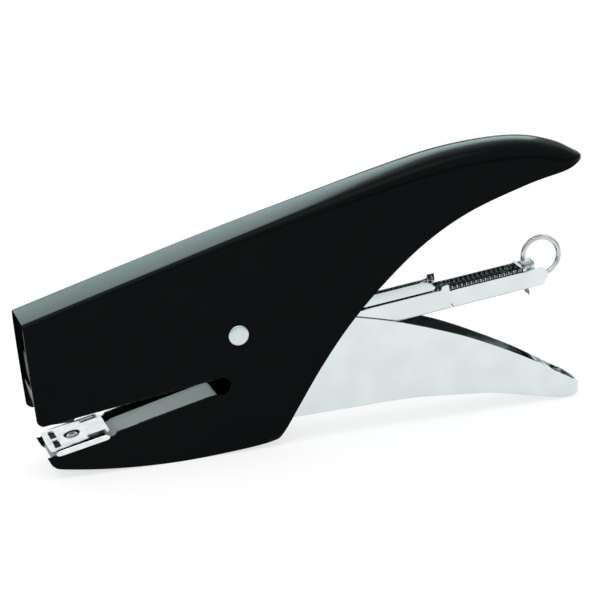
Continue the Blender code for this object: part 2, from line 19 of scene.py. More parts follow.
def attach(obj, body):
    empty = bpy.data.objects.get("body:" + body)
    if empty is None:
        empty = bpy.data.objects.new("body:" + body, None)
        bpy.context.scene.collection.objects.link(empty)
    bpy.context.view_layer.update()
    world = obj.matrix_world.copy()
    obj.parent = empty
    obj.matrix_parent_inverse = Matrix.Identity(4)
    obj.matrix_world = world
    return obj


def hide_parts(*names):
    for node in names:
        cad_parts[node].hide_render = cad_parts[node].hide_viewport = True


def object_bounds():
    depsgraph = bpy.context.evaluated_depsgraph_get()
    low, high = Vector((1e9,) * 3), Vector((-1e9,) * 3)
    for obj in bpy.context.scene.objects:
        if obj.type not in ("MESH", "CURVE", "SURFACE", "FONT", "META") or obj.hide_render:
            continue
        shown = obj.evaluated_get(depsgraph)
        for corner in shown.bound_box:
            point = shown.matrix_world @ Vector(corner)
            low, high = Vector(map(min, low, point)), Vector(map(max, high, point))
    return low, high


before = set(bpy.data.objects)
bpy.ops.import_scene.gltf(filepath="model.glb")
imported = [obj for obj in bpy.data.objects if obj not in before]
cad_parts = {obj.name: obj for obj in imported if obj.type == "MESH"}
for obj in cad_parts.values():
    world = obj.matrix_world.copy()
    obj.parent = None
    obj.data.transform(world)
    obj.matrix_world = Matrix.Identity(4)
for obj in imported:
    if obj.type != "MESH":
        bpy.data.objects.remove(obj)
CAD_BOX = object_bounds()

LOG = logging.getLogger("plier_stapler")
MM = 0.001
NOSE = CAD_BOX[0][0]
PIVOT = (67.3, 39.4)
TAU = 2.0 * np.pi
WELD = 2e-6
SHARP = math.radians(38.0)


class Part(Enum):
    """The moving bodies of the model."""

    BODY = "body"
    HANDLE = "handle"
    MAGAZINE = "magazine"
    RAIL = "rail"
    FOLLOWER = "follower"


class Slot(Enum):
    """The material slots of the record."""

    ENAMEL = "black_enamel"
    # grey_coat is the record's slot name; the grey put in it is a painted reflection of the black
    # enamel's sheen.
    COAT = "grey_coat"
    CHROME = "chrome"
    BRIGHT = "bright_steel"
    SPRING = "spring_steel"
    DARK = "dark_steel"


# Curves and grids ------------------------------------------------------------

def smooth_line(points, steps: int = 14) -> np.ndarray:
    """Draw a Catmull-Rom curve through points.

    Between b and c, with neighbours a and d, the point at t is
    (2b + (c-a)t + (2a-5b+4c-d)t^2 + (3b-a-3c+d)t^3) / 2.

    Args:
        points: rows of coordinates, at least two.
        steps: points per span.

    Returns:
        The curve's points, ends included.
    """
    given = np.asarray(points, float)
    padded = np.vstack([given[:1], given, given[-1:]])
    a, b, c, d = (padded[i:len(padded) - 3 + i, None] for i in range(4))
    t = np.linspace(0.0, 1.0, steps, endpoint=False)[None, :, None]
    curve = 0.5 * (2 * b + (c - a) * t + (2 * a - 5 * b + 4 * c - d) * t ** 2
                   + (3 * b - a - 3 * c + d) * t ** 3)
    return np.vstack([curve.reshape(-1, given.shape[1]), given[-1:]])


def height_at(x: np.ndarray, points, steps: int = 14) -> np.ndarray:
    """Height z of the smooth curve through points (x, z), where x is given."""
    curve = smooth_line(points, steps)
    order = np.argsort(curve[:, 0], kind="stable")
    return np.interp(x, curve[order, 0], curve[order, 1])


def ramp(x: np.ndarray, start: float, end: float) -> np.ndarray:
    """Smooth step: 3t^2 - 2t^3 with t going from 0 at start to 1 at end."""
    t = np.clip((np.asarray(x, float) - start) / (end - start), 0.0, 1.0)
    return t * t * (3.0 - 2.0 * t)


def spaced(*stops: tuple[float, int]) -> np.ndarray:
    """Join even runs of stations.

    Args:
        stops: pairs of (position, steps from the previous one).

    Returns:
        One rising array of stations.
    """
    runs = [np.linspace(stops[i][0], stops[i + 1][0], stops[i + 1][1], endpoint=False)
            for i in range(len(stops) - 1)]
    return np.concatenate(runs + [[stops[-1][0]]])


def side_points(x, y, z) -> np.ndarray:
    """Stack x, y and z, broadcast together, as points."""
    return np.stack(np.broadcast_arrays(np.asarray(x, float), y, z), axis=-1)


@dataclass(frozen=True)
class Line:
    """A sloping line of the side view, on which parts are laid out."""

    x: float
    z: float
    rise: float

    def axes(self) -> tuple[np.ndarray, np.ndarray]:
        """Unit vectors (x, z) along the line and square above it."""
        slope = math.atan(self.rise)
        cos, sin = math.cos(slope), math.sin(slope)
        return np.array([cos, sin]), np.array([-sin, cos])

    def at(self, along, up) -> np.ndarray:
        """Side-view points start + along * t + up * n."""
        t, n = self.axes()
        along, up = np.broadcast_arrays(np.asarray(along, float), np.asarray(up, float))
        return np.array([self.x, self.z]) + along[..., None] * t + up[..., None] * n

    def solid(self, along, across, up) -> np.ndarray:
        """Points with y = across, on the same line."""
        flat = self.at(along, up)
        return side_points(flat[..., 0], across, flat[..., 1])


MAGAZINE_LINE = Line(123.4, 35.8, 0.112)
JAW_LINE = Line(4.6, 8.4, 0.2045)


# Finishes --------------------------------------------------------------------

def linear(code: str) -> tuple[float, float, float, float]:
    """Turn an sRGB hex colour into linear RGBA: ((c + 0.055) / 1.055) ^ 2.4."""
    parts = np.array([int(code[i:i + 2], 16) for i in (1, 3, 5)]) / 255.0
    rgb = np.where(parts <= 0.04045, parts / 12.92, ((parts + 0.055) / 1.055) ** 2.4)
    return (*(float(value) for value in rgb), 1.0)


def add_node(tree: bpy.types.NodeTree, kind: str, settings: dict, inputs: dict) -> bpy.types.Node:
    """Add one node.

    Args:
        tree: the node tree.
        kind: the node's Blender type without the ShaderNode prefix.
        settings: attributes to set on the node.
        inputs: socket name or number to a value, or to the output socket that feeds it.

    Returns:
        The new node.
    """
    node = tree.nodes.new("ShaderNode" + kind)
    for key, value in settings.items():
        setattr(node, key, value)
    for key, value in inputs.items():
        if isinstance(value, bpy.types.NodeSocket):
            tree.links.new(value, node.inputs[key])
        else:
            node.inputs[key].default_value = value
    return node


def colour_stops(node: bpy.types.Node, stops: list[tuple[float, tuple]]) -> bpy.types.Node:
    """Set a colour ramp's stops to (place, linear colour) pairs."""
    elements = node.color_ramp.elements
    while len(elements) < len(stops):
        elements.new(1.0)
    for element, (place, colour) in zip(elements, stops):
        element.position = place
        element.color = colour
    return node


@dataclass(frozen=True)
class Finish:
    """What all finishes share: a shader, its colours and its constants."""

    name: str
    slot: Slot
    deep: str
    pale: str
    metallic: float
    smoothest: float
    roughest: float

    def start(self) -> tuple[bpy.types.Material, bpy.types.NodeTree, bpy.types.Node]:
        """Make the material, its tree and its shader with the constants set."""
        material = bpy.data.materials.new(self.name)
        material.use_nodes = True
        tree = material.node_tree
        shader = tree.nodes["Principled BSDF"]
        shader.inputs["Metallic"].default_value = self.metallic
        material.diffuse_color = linear(self.pale)
        return material, tree, shader

    def noise(self, tree: bpy.types.NodeTree, where: bpy.types.NodeSocket, size_mm: float,
              stretch: tuple[float, float, float] = (1.0, 1.0, 1.0),
              detail: float = 3.0) -> bpy.types.NodeSocket:
        """Noise whose lumps are size_mm across, times stretch along each axis."""
        scale = tuple(1.0 / (size_mm * MM * part) for part in stretch)
        moved = add_node(tree, "Mapping", {}, {"Vector": where, "Scale": scale})
        grain = add_node(tree, "TexNoise", {"noise_dimensions": "3D"},
                         {"Vector": moved.outputs[0], "Scale": 1.0, "Detail": detail})
        return grain.outputs[0]

    def spread(self, tree: bpy.types.NodeTree, value: bpy.types.NodeSocket, low: float,
               high: float, to_low: float, to_high: float) -> bpy.types.NodeSocket:
        """Map value from low..high to to_low..to_high, clamped."""
        node = add_node(tree, "MapRange", {"clamp": True},
                        {0: value, 1: low, 2: high, 3: to_low, 4: to_high})
        return node.outputs[0]

    def tint(self, tree: bpy.types.NodeTree, factor: bpy.types.NodeSocket, first,
             second) -> bpy.types.NodeSocket:
        """Mix two colours, each a hex code or a socket, by factor."""
        first, second = (linear(c) if isinstance(c, str) else c for c in (first, second))
        node = add_node(tree, "Mix", {"data_type": "RGBA"}, {0: factor, 6: first, 7: second})
        return node.outputs[2]

    def relief(self, tree: bpy.types.NodeTree, shader: bpy.types.Node,
               *layers: tuple[bpy.types.NodeSocket, float]) -> None:
        """Chain bumps, each (height 0..1, depth in millimetres), into the shader."""
        normal = None
        for height, depth in layers:
            inputs = {"Height": height, "Distance": depth * MM, "Strength": 1.0}
            if normal is not None:
                inputs["Normal"] = normal
            normal = add_node(tree, "Bump", {}, inputs).outputs[0]
        tree.links.new(normal, shader.inputs["Normal"])


@dataclass(frozen=True)
class StovedEnamel(Finish):
    """Gloss black stoved enamel sprayed on pressed steel sheet.

    The film is black with hardly any body colour; what shows is its even
    gloss, a slight orange peel, a few hairline scratches and worn edges.
    """

    gloss_level: float = 0.04

    def build(self) -> bpy.types.Material:
        """Make the material."""
        material, tree, shader = self.start()
        shader.inputs["Specular IOR Level"].default_value = self.gloss_level
        place = add_node(tree, "TexCoord", {}, {}).outputs["Object"]
        cloud = self.noise(tree, place, 22.0)
        peel = self.noise(tree, place, 1.1, detail=1.0)
        hair = self.noise(tree, place, 0.35, (60.0, 1.0, 1.0), 2.0)
        hairline = self.spread(tree, hair, 0.66, 0.72, 0.0, 1.0)
        edge = add_node(tree, "NewGeometry", {}, {}).outputs["Pointiness"]
        chips = self.noise(tree, place, 0.8)
        worn = add_node(tree, "Math", {"operation": "MULTIPLY"},
                        {0: self.spread(tree, edge, 0.60, 0.72, 0.0, 1.0),
                         1: self.spread(tree, chips, 0.45, 0.65, 0.1, 0.8)}).outputs[0]
        film = self.tint(tree, self.spread(tree, cloud, 0.3, 0.7, 0.0, 1.0), self.deep, self.pale)
        tree.links.new(self.tint(tree, worn, film, "#2C3030"), shader.inputs["Base Color"])
        gloss = self.spread(tree, cloud, 0.3, 0.7, self.smoothest, self.roughest)
        dulled = add_node(tree, "Math", {"operation": "MULTIPLY_ADD"},
                          {0: hairline, 1: 0.10, 2: gloss}).outputs[0]
        tree.links.new(dulled, shader.inputs["Roughness"])
        self.relief(tree, shader, (peel, 0.004), (hairline, 0.002))
        return material


@dataclass(frozen=True)
class BrightChrome(Finish):
    """Bright chrome plated on pressed steel sheet.

    A cool near-white mirror. The sheet under it is a little wavy from the
    press, with fine polishing lines and thin rub marks that dull the mirror.
    Where the named point attribute is 1, the plate is painted dark and dulled: painted shade in its
    recesses.
    """

    wave_mm: float = 9.0
    # Name of the point attribute that carries painted shade; empty for none.
    painted_shade: str = ""

    def build(self) -> bpy.types.Material:
        """Make the material."""
        material, tree, shader = self.start()
        place = add_node(tree, "TexCoord", {}, {}).outputs["Object"]
        swell = self.noise(tree, place, self.wave_mm, detail=1.0)
        polish = self.noise(tree, place, 0.30, (40.0, 1.0, 1.0), 2.0)
        rub = self.spread(tree, self.noise(tree, place, 0.5, (30.0, 1.0, 6.0), 2.0),
                          0.62, 0.70, 0.0, 1.0)
        plate = self.tint(tree, self.spread(tree, swell, 0.35, 0.65, 0.0, 1.0),
                          self.deep, self.pale)
        gloss = self.spread(tree, polish, 0.3, 0.7, self.smoothest, self.roughest)
        dulled = add_node(tree, "Math", {"operation": "MULTIPLY_ADD"},
                          {0: rub, 1: 0.08, 2: gloss}).outputs[0]
        # Painted shade: where the attribute is 1 the plate is darkened towards #1B2122 and dulled.
        if self.painted_shade:
            shade_weight = add_node(tree, "Attribute", {"attribute_name": self.painted_shade}, {}).outputs["Fac"]
            plate = self.tint(tree, shade_weight, plate, "#1B2122")
            dulled = add_node(tree, "Math", {"operation": "MULTIPLY_ADD"},
                              {0: shade_weight, 1: 0.4, 2: dulled}).outputs[0]
        tree.links.new(plate, shader.inputs["Base Color"])
        tree.links.new(dulled, shader.inputs["Roughness"])
        self.relief(tree, shader, (swell, 0.006), (polish, 0.0012))
        return material


@dataclass(frozen=True)
class TurnedZinc(Finish):
    """Bright zinc plate on a turned and headed steel rivet.

    Fine rings from the heading tool run round the axis, under a cool grey
    plate with faint blotches.
    """

    centre: tuple[float, float, float] = (0.0, 0.0, 0.0)
    axis: str = "Y"
    tilt: float = 0.0

    def build(self) -> bpy.types.Material:
        """Make the material."""
        material, tree, shader = self.start()
        place = add_node(tree, "TexCoord", {}, {}).outputs["Object"]
        turn = Matrix.Rotation(self.tilt, 3, "Y")
        offset = turn @ Vector(self.centre)
        centred = add_node(tree, "Mapping", {},
                           {"Vector": place, "Location": tuple(-offset),
                            "Rotation": (0.0, self.tilt, 0.0)}).outputs[0]
        # Rings 0.18 mm apart, coarser than a real tool mark, so that they show.
        rings = add_node(tree, "TexWave", {"wave_type": "RINGS", "rings_direction": self.axis},
                         {"Vector": centred, "Scale": 1.0 / (0.18 * MM * 3.2),
                          "Distortion": 0.6, "Detail": 2.0, "Detail Scale": 2.0}).outputs["Fac"]
        blotch = self.noise(tree, place, 1.6)
        tree.links.new(self.tint(tree, self.spread(tree, blotch, 0.35, 0.65, 0.0, 1.0),
                                 self.deep, self.pale), shader.inputs["Base Color"])
        tree.links.new(self.spread(tree, blotch, 0.3, 0.7, self.smoothest, self.roughest),
                       shader.inputs["Roughness"])
        self.relief(tree, shader, (rings, 0.004), (blotch, 0.006))
        return material


@dataclass(frozen=True)
class DrawnSteel(Finish):
    """Steel wire or strip pulled through a die, left bright or blued.

    Die lines run along the length, so the grain is stretched along the
    piece's own UV, where u is the distance along it.
    """

    def build(self) -> bpy.types.Material:
        """Make the material."""
        material, tree, shader = self.start()
        length = add_node(tree, "TexCoord", {}, {}).outputs["UV"]
        place = add_node(tree, "TexCoord", {}, {}).outputs["Object"]
        lines = self.noise(tree, length, 0.16, (40.0, 1.0, 1.0), 3.0)
        stain = self.noise(tree, place, 4.0)
        tree.links.new(self.tint(tree, self.spread(tree, stain, 0.35, 0.7, 0.0, 1.0),
                                 self.deep, self.pale), shader.inputs["Base Color"])
        tree.links.new(self.spread(tree, lines, 0.3, 0.7, self.smoothest, self.roughest),
                       shader.inputs["Roughness"])
        self.relief(tree, shader, (lines, 0.005))
        return material


@dataclass(frozen=True)
class BlackenedSteel(Finish):
    """Steel sheet blackened in hot oxide and oiled.

    Dark blue-grey, mottled at 2 mm, with a fine tooth and rubbed bright
    along its corners.
    """

    def build(self) -> bpy.types.Material:
        """Make the material."""
        material, tree, shader = self.start()
        place = add_node(tree, "TexCoord", {}, {}).outputs["Object"]
        mottle = self.noise(tree, place, 2.0)
        tooth = self.noise(tree, place, 0.25, detail=1.0)
        edge = add_node(tree, "NewGeometry", {}, {}).outputs["Pointiness"]
        base = self.tint(tree, self.spread(tree, mottle, 0.35, 0.65, 0.0, 1.0),
                         self.deep, self.pale)
        rubbed = self.spread(tree, edge, 0.56, 0.68, 0.0, 0.7)
        tree.links.new(self.tint(tree, rubbed, base, "#8A8E90"), shader.inputs["Base Color"])
        tree.links.new(self.spread(tree, mottle, 0.3, 0.7, self.smoothest, self.roughest),
                       shader.inputs["Roughness"])
        self.relief(tree, shader, (tooth, 0.004))
        return material


ENAMEL = StovedEnamel("gloss_black_stoved_enamel", Slot.ENAMEL, "#040708", "#070B0B", 0.0,
                      0.14, 0.20)
# Painted reflection: this pale grey stands in for the sheen of the black enamel on the jaw channel's
# web, which shows grey where it mirrors the bright surround.
GREY_PAINTED_SHEEN = StovedEnamel("grey_painted_sheen_on_jaw_channel", Slot.COAT, "#8C9695", "#98A2A1",
                         0.0, 0.34, 0.44, 0.3)
CHROME = BrightChrome("bright_chrome_on_pressed_steel", Slot.CHROME, "#D5DCDD", "#DBE2E3", 1.0,
                      0.06, 0.12)
ANVIL_CHROME = BrightChrome("bright_chrome_on_stamped_anvil", Slot.CHROME, "#DDE1E2", "#F0F2F2",
                            1.0, 0.08, 0.16, 3.0, "painted_shade")
# Painted reflection: a near-white, barely metallic surface whose colour stands in for the bright
# reflection on the lever's chrome nose.
NOSE_PAINTED_REFLECTION = BrightChrome("white_painted_reflection_on_lever_nose", Slot.CHROME, "#E4E8EA", "#EEF1F2", 0.1,
                            0.38, 0.50, 3.0)
SPRING_WIRE = DrawnSteel("drawn_spring_wire", Slot.SPRING, "#2B2E30", "#4C5053", 1.0, 0.26, 0.44)
RING_WIRE = DrawnSteel("drawn_bright_wire", Slot.BRIGHT, "#BFC3C5", "#DDE0E1", 1.0, 0.16, 0.30)
SPRING_STRIP = DrawnSteel("rolled_spring_strip", Slot.SPRING, "#3C4044", "#62676B", 1.0,
                          0.24, 0.40)
STAPLE_WIRE = DrawnSteel("drawn_staple_wire", Slot.BRIGHT, "#A6AAAC", "#CFD2D3", 1.0, 0.18, 0.32)
OXIDE = BlackenedSteel("hot_oxide_blackened_steel", Slot.DARK, "#24272A", "#383C40", 1.0,
                       0.30, 0.46)


# Surfaces --------------------------------------------------------------------

@dataclass
class Surface:
    """Numpy grids in millimetres, gathered into one welded piece."""

    name: str
    grids: list[np.ndarray] = field(default_factory=list)

    def add(self, *grids: np.ndarray) -> "Surface":
        """Add grids of points, each of shape (rows, columns, 3)."""
        self.grids.extend(grids)
        return self

    def add_both(self, *grids: np.ndarray) -> "Surface":
        """Add grids and their mirror images across the middle plane."""
        self.grids.extend(grids)
        self.grids.extend(grid * np.array([1.0, -1.0, 1.0]) for grid in grids)
        return self

    @staticmethod
    def lengths(grid: np.ndarray) -> np.ndarray:
        """UV of a grid: u is the mean distance along its columns, v along its rows."""
        def run(steps: np.ndarray) -> np.ndarray:
            """Running total of the steps, from zero."""
            return np.concatenate([[0.0], np.cumsum(steps)])

        u = run(np.linalg.norm(np.diff(grid, axis=1), axis=2).mean(0))
        v = run(np.linalg.norm(np.diff(grid, axis=0), axis=2).mean(1))
        return np.stack(np.meshgrid(u, v), axis=-1) * MM

    def build(self) -> bpy.types.Object:
        """Weld the grids into one mesh object in the model's frame, normals outwards."""
        points, faces, uvs, start = [], [], [], 0
        for grid in self.grids:
            rows, columns = grid.shape[:2]
            i, j = np.meshgrid(np.arange(rows - 1), np.arange(columns - 1), indexing="ij")
            corner = start + i * columns + j
            quads = np.stack([corner, corner + 1, corner + columns + 1, corner + columns], -1)
            faces.append(quads.reshape(-1, 4))
            points.append(grid.reshape(-1, 3) * MM + np.array([NOSE, 0.0, 0.0]))
            uvs.append(self.lengths(grid).reshape(-1, 2))
            start += rows * columns
        quads = np.concatenate(faces)
        mesh = bpy.data.meshes.new(self.name)
        mesh.from_pydata(np.concatenate(points), [], quads)
        layer = mesh.uv_layers.new(name="length")
        layer.data.foreach_set("uv", np.concatenate(uvs)[quads.ravel()].astype(np.float32).ravel())
        builder = bmesh.new()
        builder.from_mesh(mesh)
        bmesh.ops.remove_doubles(builder, verts=builder.verts, dist=WELD)
        bmesh.ops.recalc_face_normals(builder, faces=builder.faces)
        builder.to_mesh(mesh)
        builder.free()
        mesh.shade_smooth()
        mesh.set_sharp_from_angle(angle=SHARP)
        piece = bpy.data.objects.new(self.name, mesh)
        bpy.context.scene.collection.objects.link(piece)
        return piece


def thicken(piece: bpy.types.Object, wall: float, offset: float = -1.0,
            edge: float = 0.12, even: bool = True) -> bpy.types.Object:
    """Give a surface a sheet wall with rounded edges.

    Args:
        piece: an open, welded surface.
        wall: sheet thickness in millimetres.
        offset: -1 grows the wall inwards, 0 both ways.
        edge: radius of the sheet's edges in millimetres.
        even: keep the wall even across bends; off for a skin with slivers.

    Returns:
        The same piece.
    """
    shell = piece.modifiers.new("wall", "SOLIDIFY")
    shell.thickness = wall * MM
    shell.offset = offset
    shell.use_even_offset = even
    shell.thickness_clamp = 1.0
    if edge > 0.0:
        bevel = piece.modifiers.new("edge", "BEVEL")
        bevel.width = edge * MM
        bevel.segments = 2
        bevel.limit_method = "ANGLE"
        bevel.angle_limit = math.radians(50.0)
        bevel.harden_normals = True
        bevel.use_clamp_overlap = True
    return piece


def section(half, radius, depth: np.ndarray, web_steps: int = 6, wall_steps: int = 4,
            bend_steps: int = 6) -> tuple[np.ndarray, np.ndarray]:
    """Cross-section of a channel: wall, round bend, web, round bend, wall.

    On the bend at angle a from the web, y = half - r + r sin a and the drop
    below the web is r - r cos a; on the wall y = half and the drop runs from
    r to the depth.

    Args:
        half: half of the outer width, one value or one per column.
        radius: bend radius.
        depth: height of the walls at each column.
        web_steps: steps over half of the web.
        wall_steps: steps down each wall.
        bend_steps: steps round each bend.

    Returns:
        Offsets across and drops below the web, each (rows, columns).
    """
    depth = np.asarray(depth, float)[None, :]
    half = np.broadcast_to(np.asarray(half, float), depth.shape)
    radius = np.minimum(radius, depth * 0.9)
    angle = np.linspace(0.0, np.pi / 2, bend_steps + 1)[:, None]
    t = np.linspace(0.0, 1.0, web_steps, endpoint=False)[:, None]
    s = np.linspace(0.0, 1.0, wall_steps + 1)[1:, None]
    across = np.concatenate([(half - radius) * t, half - radius + radius * np.sin(angle),
                             half + 0.0 * s])
    drop = np.concatenate([0.0 * (depth * t), radius * (1.0 - np.cos(angle)),
                           radius + (depth - radius) * s])
    return (np.concatenate([-across[:0:-1], across]), np.concatenate([drop[:0:-1], drop]))


def channel(web: np.ndarray, foot: np.ndarray, half, radius: float, **steps: int) -> np.ndarray:
    """Carry a channel section along a path.

    Args:
        web: side-view points (x, z) along the middle of the web.
        foot: the matching points at the free edge of the walls.
        half: half of the outer width.
        radius: bend radius.
        steps: step counts for section.

    Returns:
        A grid of points.
    """
    reach = foot - web
    depth = np.linalg.norm(reach, axis=1)
    unit = reach / depth[:, None]
    across, drop = section(half, radius, depth, **steps)
    flat = web[None] + drop[..., None] * unit[None]
    return side_points(flat[..., 0], across, flat[..., 1])


def ribbon(path: np.ndarray, half, rows: int = 9, crown: float = 0.0) -> np.ndarray:
    """Carry a straight or slightly crowned line across along a side-view path.

    The crown lowers a point by crown * (y / half)^2 along the path's normal.

    Args:
        path: side-view points (x, z).
        half: half width, one value or one per point.
        rows: points across.
        crown: height of the crown in millimetres.

    Returns:
        A grid of points.
    """
    path = np.asarray(path, float)
    tangent = np.gradient(path, axis=0)
    tangent /= np.linalg.norm(tangent, axis=1)[:, None]
    normal = np.stack([-tangent[:, 1], tangent[:, 0]], axis=1)
    t = np.linspace(-1.0, 1.0, rows)[:, None]
    flat = path[None] - crown * (t ** 2)[..., None] * normal[None]
    return side_points(flat[..., 0], t * np.broadcast_to(half, len(path))[None], flat[..., 1])


def bar(sections: np.ndarray) -> np.ndarray:
    """Close a lofted solid.

    Args:
        sections: points (sections, around, 3), each section a closed loop without its repeat.

    Returns:
        The grid with the loop closed and both ends drawn to their middle.
    """
    loop = np.concatenate([sections, sections[:, :1]], axis=1)
    ends = [np.broadcast_to(end.mean(0), loop.shape[1:])[None] for end in (sections[0], sections[-1])]
    return np.concatenate([ends[0], loop, ends[1]])


def tube(path: np.ndarray, radius: float, reference, sides: int = 10) -> np.ndarray:
    """Round wire along a path, with domed ends.

    The frame at a point is tangent x reference and its square; the ring is
    centre + r (cos a * n + sin a * b). The last 1.0 r at each end follows a
    quarter circle.

    Args:
        path: points (n, 3).
        radius: wire radius in millimetres.
        reference: a direction, or one per point, never along the path.
        sides: points round the wire.

    Returns:
        A grid of points, welded into a closed tube.
    """
    tangent = np.gradient(path, axis=0)
    tangent /= np.linalg.norm(tangent, axis=1)[:, None]
    first = np.cross(tangent, np.broadcast_to(reference, path.shape))
    first /= np.linalg.norm(first, axis=1)[:, None]
    second = np.cross(tangent, first)
    dome = np.array([0.0, 30.0, 60.0]) * np.pi / 180.0
    grow = np.concatenate([np.sin(dome), np.ones(len(path)), np.sin(dome[::-1])])
    push = np.concatenate([-np.cos(dome), np.zeros(len(path)), np.cos(dome[::-1])])
    index = np.concatenate([np.zeros(3, int), np.arange(len(path)), np.full(3, len(path) - 1)])
    angle = np.linspace(0.0, TAU, sides + 1)[None, :, None]
    ring = np.cos(angle) * first[index, None] + np.sin(angle) * second[index, None]
    centre = path[index] + push[:, None] * radius * tangent[index]
    return np.swapaxes(centre[:, None] + radius * grow[:, None, None] * ring, 0, 1)


def turned(profile, centre, axis, sides: int = 48) -> np.ndarray:
    """Turn a profile of (radius, height) about an axis through centre."""
    profile = np.asarray(profile, float)
    axis = np.asarray(axis, float) / np.linalg.norm(axis)
    first = np.cross(axis, (0.0, 1.0, 0.0) if abs(axis[1]) < 0.9 else (1.0, 0.0, 0.0))
    first /= np.linalg.norm(first)
    second = np.cross(axis, first)
    angle = np.linspace(0.0, TAU, sides + 1)[None, :, None]
    ring = np.cos(angle) * first + np.sin(angle) * second
    return (np.asarray(centre, float) + profile[:, 0, None, None] * ring
            + profile[:, 1, None, None] * axis)


def dress(piece: bpy.types.Object, finish: Finish, part: Part, *nodes: str) -> bpy.types.Object:
    """Give a piece its finish and its body, and let it stand for CAD nodes.

    Args:
        piece: the finished mesh object.
        finish: what it is made of.
        part: the body it moves with.
        nodes: the CAD nodes that it replaces.

    Returns:
        The same piece.
    """
    piece.data.materials.clear()
    piece.data.materials.append(finish_material(finish))
    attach(piece, part.value)
    if nodes:
        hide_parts(*nodes)
    LOG.info("%s: %d faces, rides on %s", piece.name, len(piece.data.polygons), part.value)
    return piece


def finish_material(finish: Finish) -> bpy.types.Material:
    """The finish's material, made once."""
    return bpy.data.materials.get(finish.name) or finish.build()


def refinish(node: str, finish: Finish) -> None:
    """Give a CAD node that stays in view its finish."""
    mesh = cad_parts[node].data
    mesh.materials.clear()
    mesh.materials.append(finish_material(finish))
    LOG.info("%s: CAD node, finished as %s", node, finish.name)


# Body ------------------------------------------------------------------------

